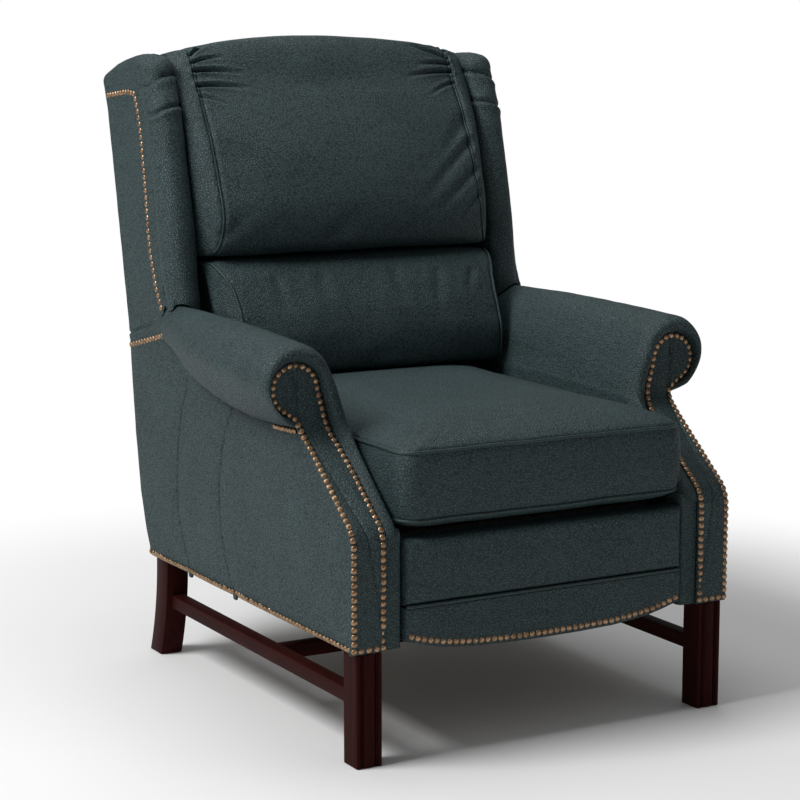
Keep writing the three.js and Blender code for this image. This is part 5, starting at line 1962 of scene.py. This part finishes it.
@dataclass
class Studio:
    """A pale floor that runs into a white surround, soft lamps from the left, and the photograph's view."""

    focal: float = 101.08
    sensor: float = 36.0
    place: tuple = (-1948.1, -2959.4, 1132.4)
    turn: float = 29.49
    dip: float = 9.25
    bright: tuple = (1, 1, 1, 1)

    def build(self) -> None:
        """Sets the floor, the lamps, the world and the camera."""
        self.camera()
        self.floor()
        self.world()
        self.lamp("key_lamp", (-2900, 0, 3400), 1700, 147.0)
        self.lamp("top_lamp", (300, 600, 3600), 1800, 34.0)
        bpy.context.scene.view_settings.view_transform = "Standard"

    def camera(self) -> None:
        """The camera, at the angle and distance of the photograph."""
        data = bpy.data.cameras.new("camera")
        data.lens, data.sensor_width = self.focal, self.sensor
        data.clip_start, data.clip_end = 0.1, 60
        camera = bpy.data.objects.new("camera", data)
        link(camera)
        x, y, z = self.place
        camera.location = (x * MM, (y + FRONT_Y) * MM, z * MM)
        a, e = math.radians(self.turn), math.radians(self.dip)
        ahead = Vector((math.sin(a) * math.cos(e), math.cos(a) * math.cos(e), -math.sin(e)))
        camera.rotation_mode = "QUATERNION"
        camera.rotation_quaternion = ahead.to_track_quat("-Z", "Y")
        bpy.context.scene.camera = camera

    def white(self, nodes: Nodes, shader: Socket, share: Socket) -> Socket:
        """Shows plain white to the camera and to reflections where share is 1, and the shader elsewhere.

        Args:
            nodes: the floor's nodes.
            shader: the shader that lights and shadows meet.
            share: the socket that says how white it is.

        Returns:
            The socket of the mixed shader.
        """
        path = nodes.add("ShaderNodeLightPath").outputs
        seen = nodes.math("MAXIMUM", path["Is Camera Ray"], path["Is Glossy Ray"])
        seen = nodes.math("MAXIMUM", seen, path["Is Transmission Ray"])
        glow = nodes.add("ShaderNodeEmission", {"Color": self.bright, "Strength": 1.0}).outputs[0]
        return nodes.add("ShaderNodeMixShader", {0: nodes.math("MULTIPLY", seen, share), 1: shader, 2: glow}).outputs[0]

    def floor(self) -> None:
        """A wide pale floor that fades to white away from the chair."""
        mesh = bpy.data.meshes.new("studio_floor")
        work = bmesh.new()
        bmesh.ops.create_grid(work, x_segments=8, y_segments=8, size=9.0)
        work.to_mesh(mesh)
        work.free()
        floor = bpy.data.objects.new("studio_floor", mesh)
        floor.location.z = -0.0004
        link(floor)
        made = bpy.data.materials.new("pale_painted_floor")
        made.use_nodes = True
        made.node_tree.nodes.clear()
        nodes = Nodes(made.node_tree)
        place = nodes.add("ShaderNodeTexCoord").outputs["Object"]
        mottle = nodes.add("ShaderNodeTexNoise", {"Vector": place, "Scale": 3.0}).outputs["Fac"]
        tone = nodes.spread(mottle, 0.0, 1.0, 0.86, 0.88)
        grey = nodes.add("ShaderNodeCombineColor", {0: tone, 1: tone, 2: tone}).outputs[0]
        paint = nodes.add("ShaderNodeBsdfPrincipled", {"Base Color": grey, "Roughness": 0.9}).outputs[0]
        flat = nodes.add("ShaderNodeVectorMath", {0: place, 1: (1, 1, 0)}, operation="MULTIPLY").outputs[0]
        away = nodes.add("ShaderNodeVectorMath", {0: flat}, operation="LENGTH").outputs["Value"]
        fade = nodes.spread(away, 0.75, 1.6, interpolation_type="SMOOTHSTEP")
        nodes.add("ShaderNodeOutputMaterial", {0: self.white(nodes, paint, fade)})
        mesh.materials.append(made)

    def world(self) -> None:
        """A dim even surround that the camera sees as white."""
        world = bpy.data.worlds.new("studio_world")
        world.use_nodes = True
        world.node_tree.nodes.clear()
        nodes = Nodes(world.node_tree)
        path = nodes.add("ShaderNodeLightPath").outputs
        seen = nodes.math("MAXIMUM", path["Is Camera Ray"], path["Is Transmission Ray"])
        dim, full = [nodes.add("ShaderNodeBackground", {"Color": self.bright, "Strength": level}).outputs[0]
                     for level in (0.22, 1.0)]
        mixed = nodes.add("ShaderNodeMixShader", {0: seen, 1: dim, 2: full}).outputs[0]
        nodes.add("ShaderNodeOutputWorld", {0: mixed})
        bpy.context.scene.world = world

    def lamp(self, name: str, place: tuple, size: float, power: float) -> None:
        """A square soft lamp that faces the chair.

        Args:
            name: its name.
            place: where it stands, in millimetres.
            size: its width in millimetres.
            power: its power in watts.
        """
        data = bpy.data.lights.new(name, "AREA")
        data.energy, data.size = power, size * MM
        lamp = bpy.data.objects.new(name, data)
        link(lamp)
        lamp.location = Vector(place) * MM
        lamp.rotation_mode = "QUATERNION"
        lamp.rotation_quaternion = (Vector((0, 0, 0.5)) - lamp.location).to_track_quat("-Z", "Y")


def main() -> None:
    """Builds the studio and every sub-assembly."""
    logging.basicConfig(level=logging.INFO, format="%(message)s")
    for part in (Studio(), Woodwork(), *map(Arm, Side), SeatCushion(), FootrestPanel(), RailCover(), headrest(),
                 lumbar(), *map(Wing, Side), BackShell(), Carcass()):
        part.build()


if __name__ == "__main__":
    main()
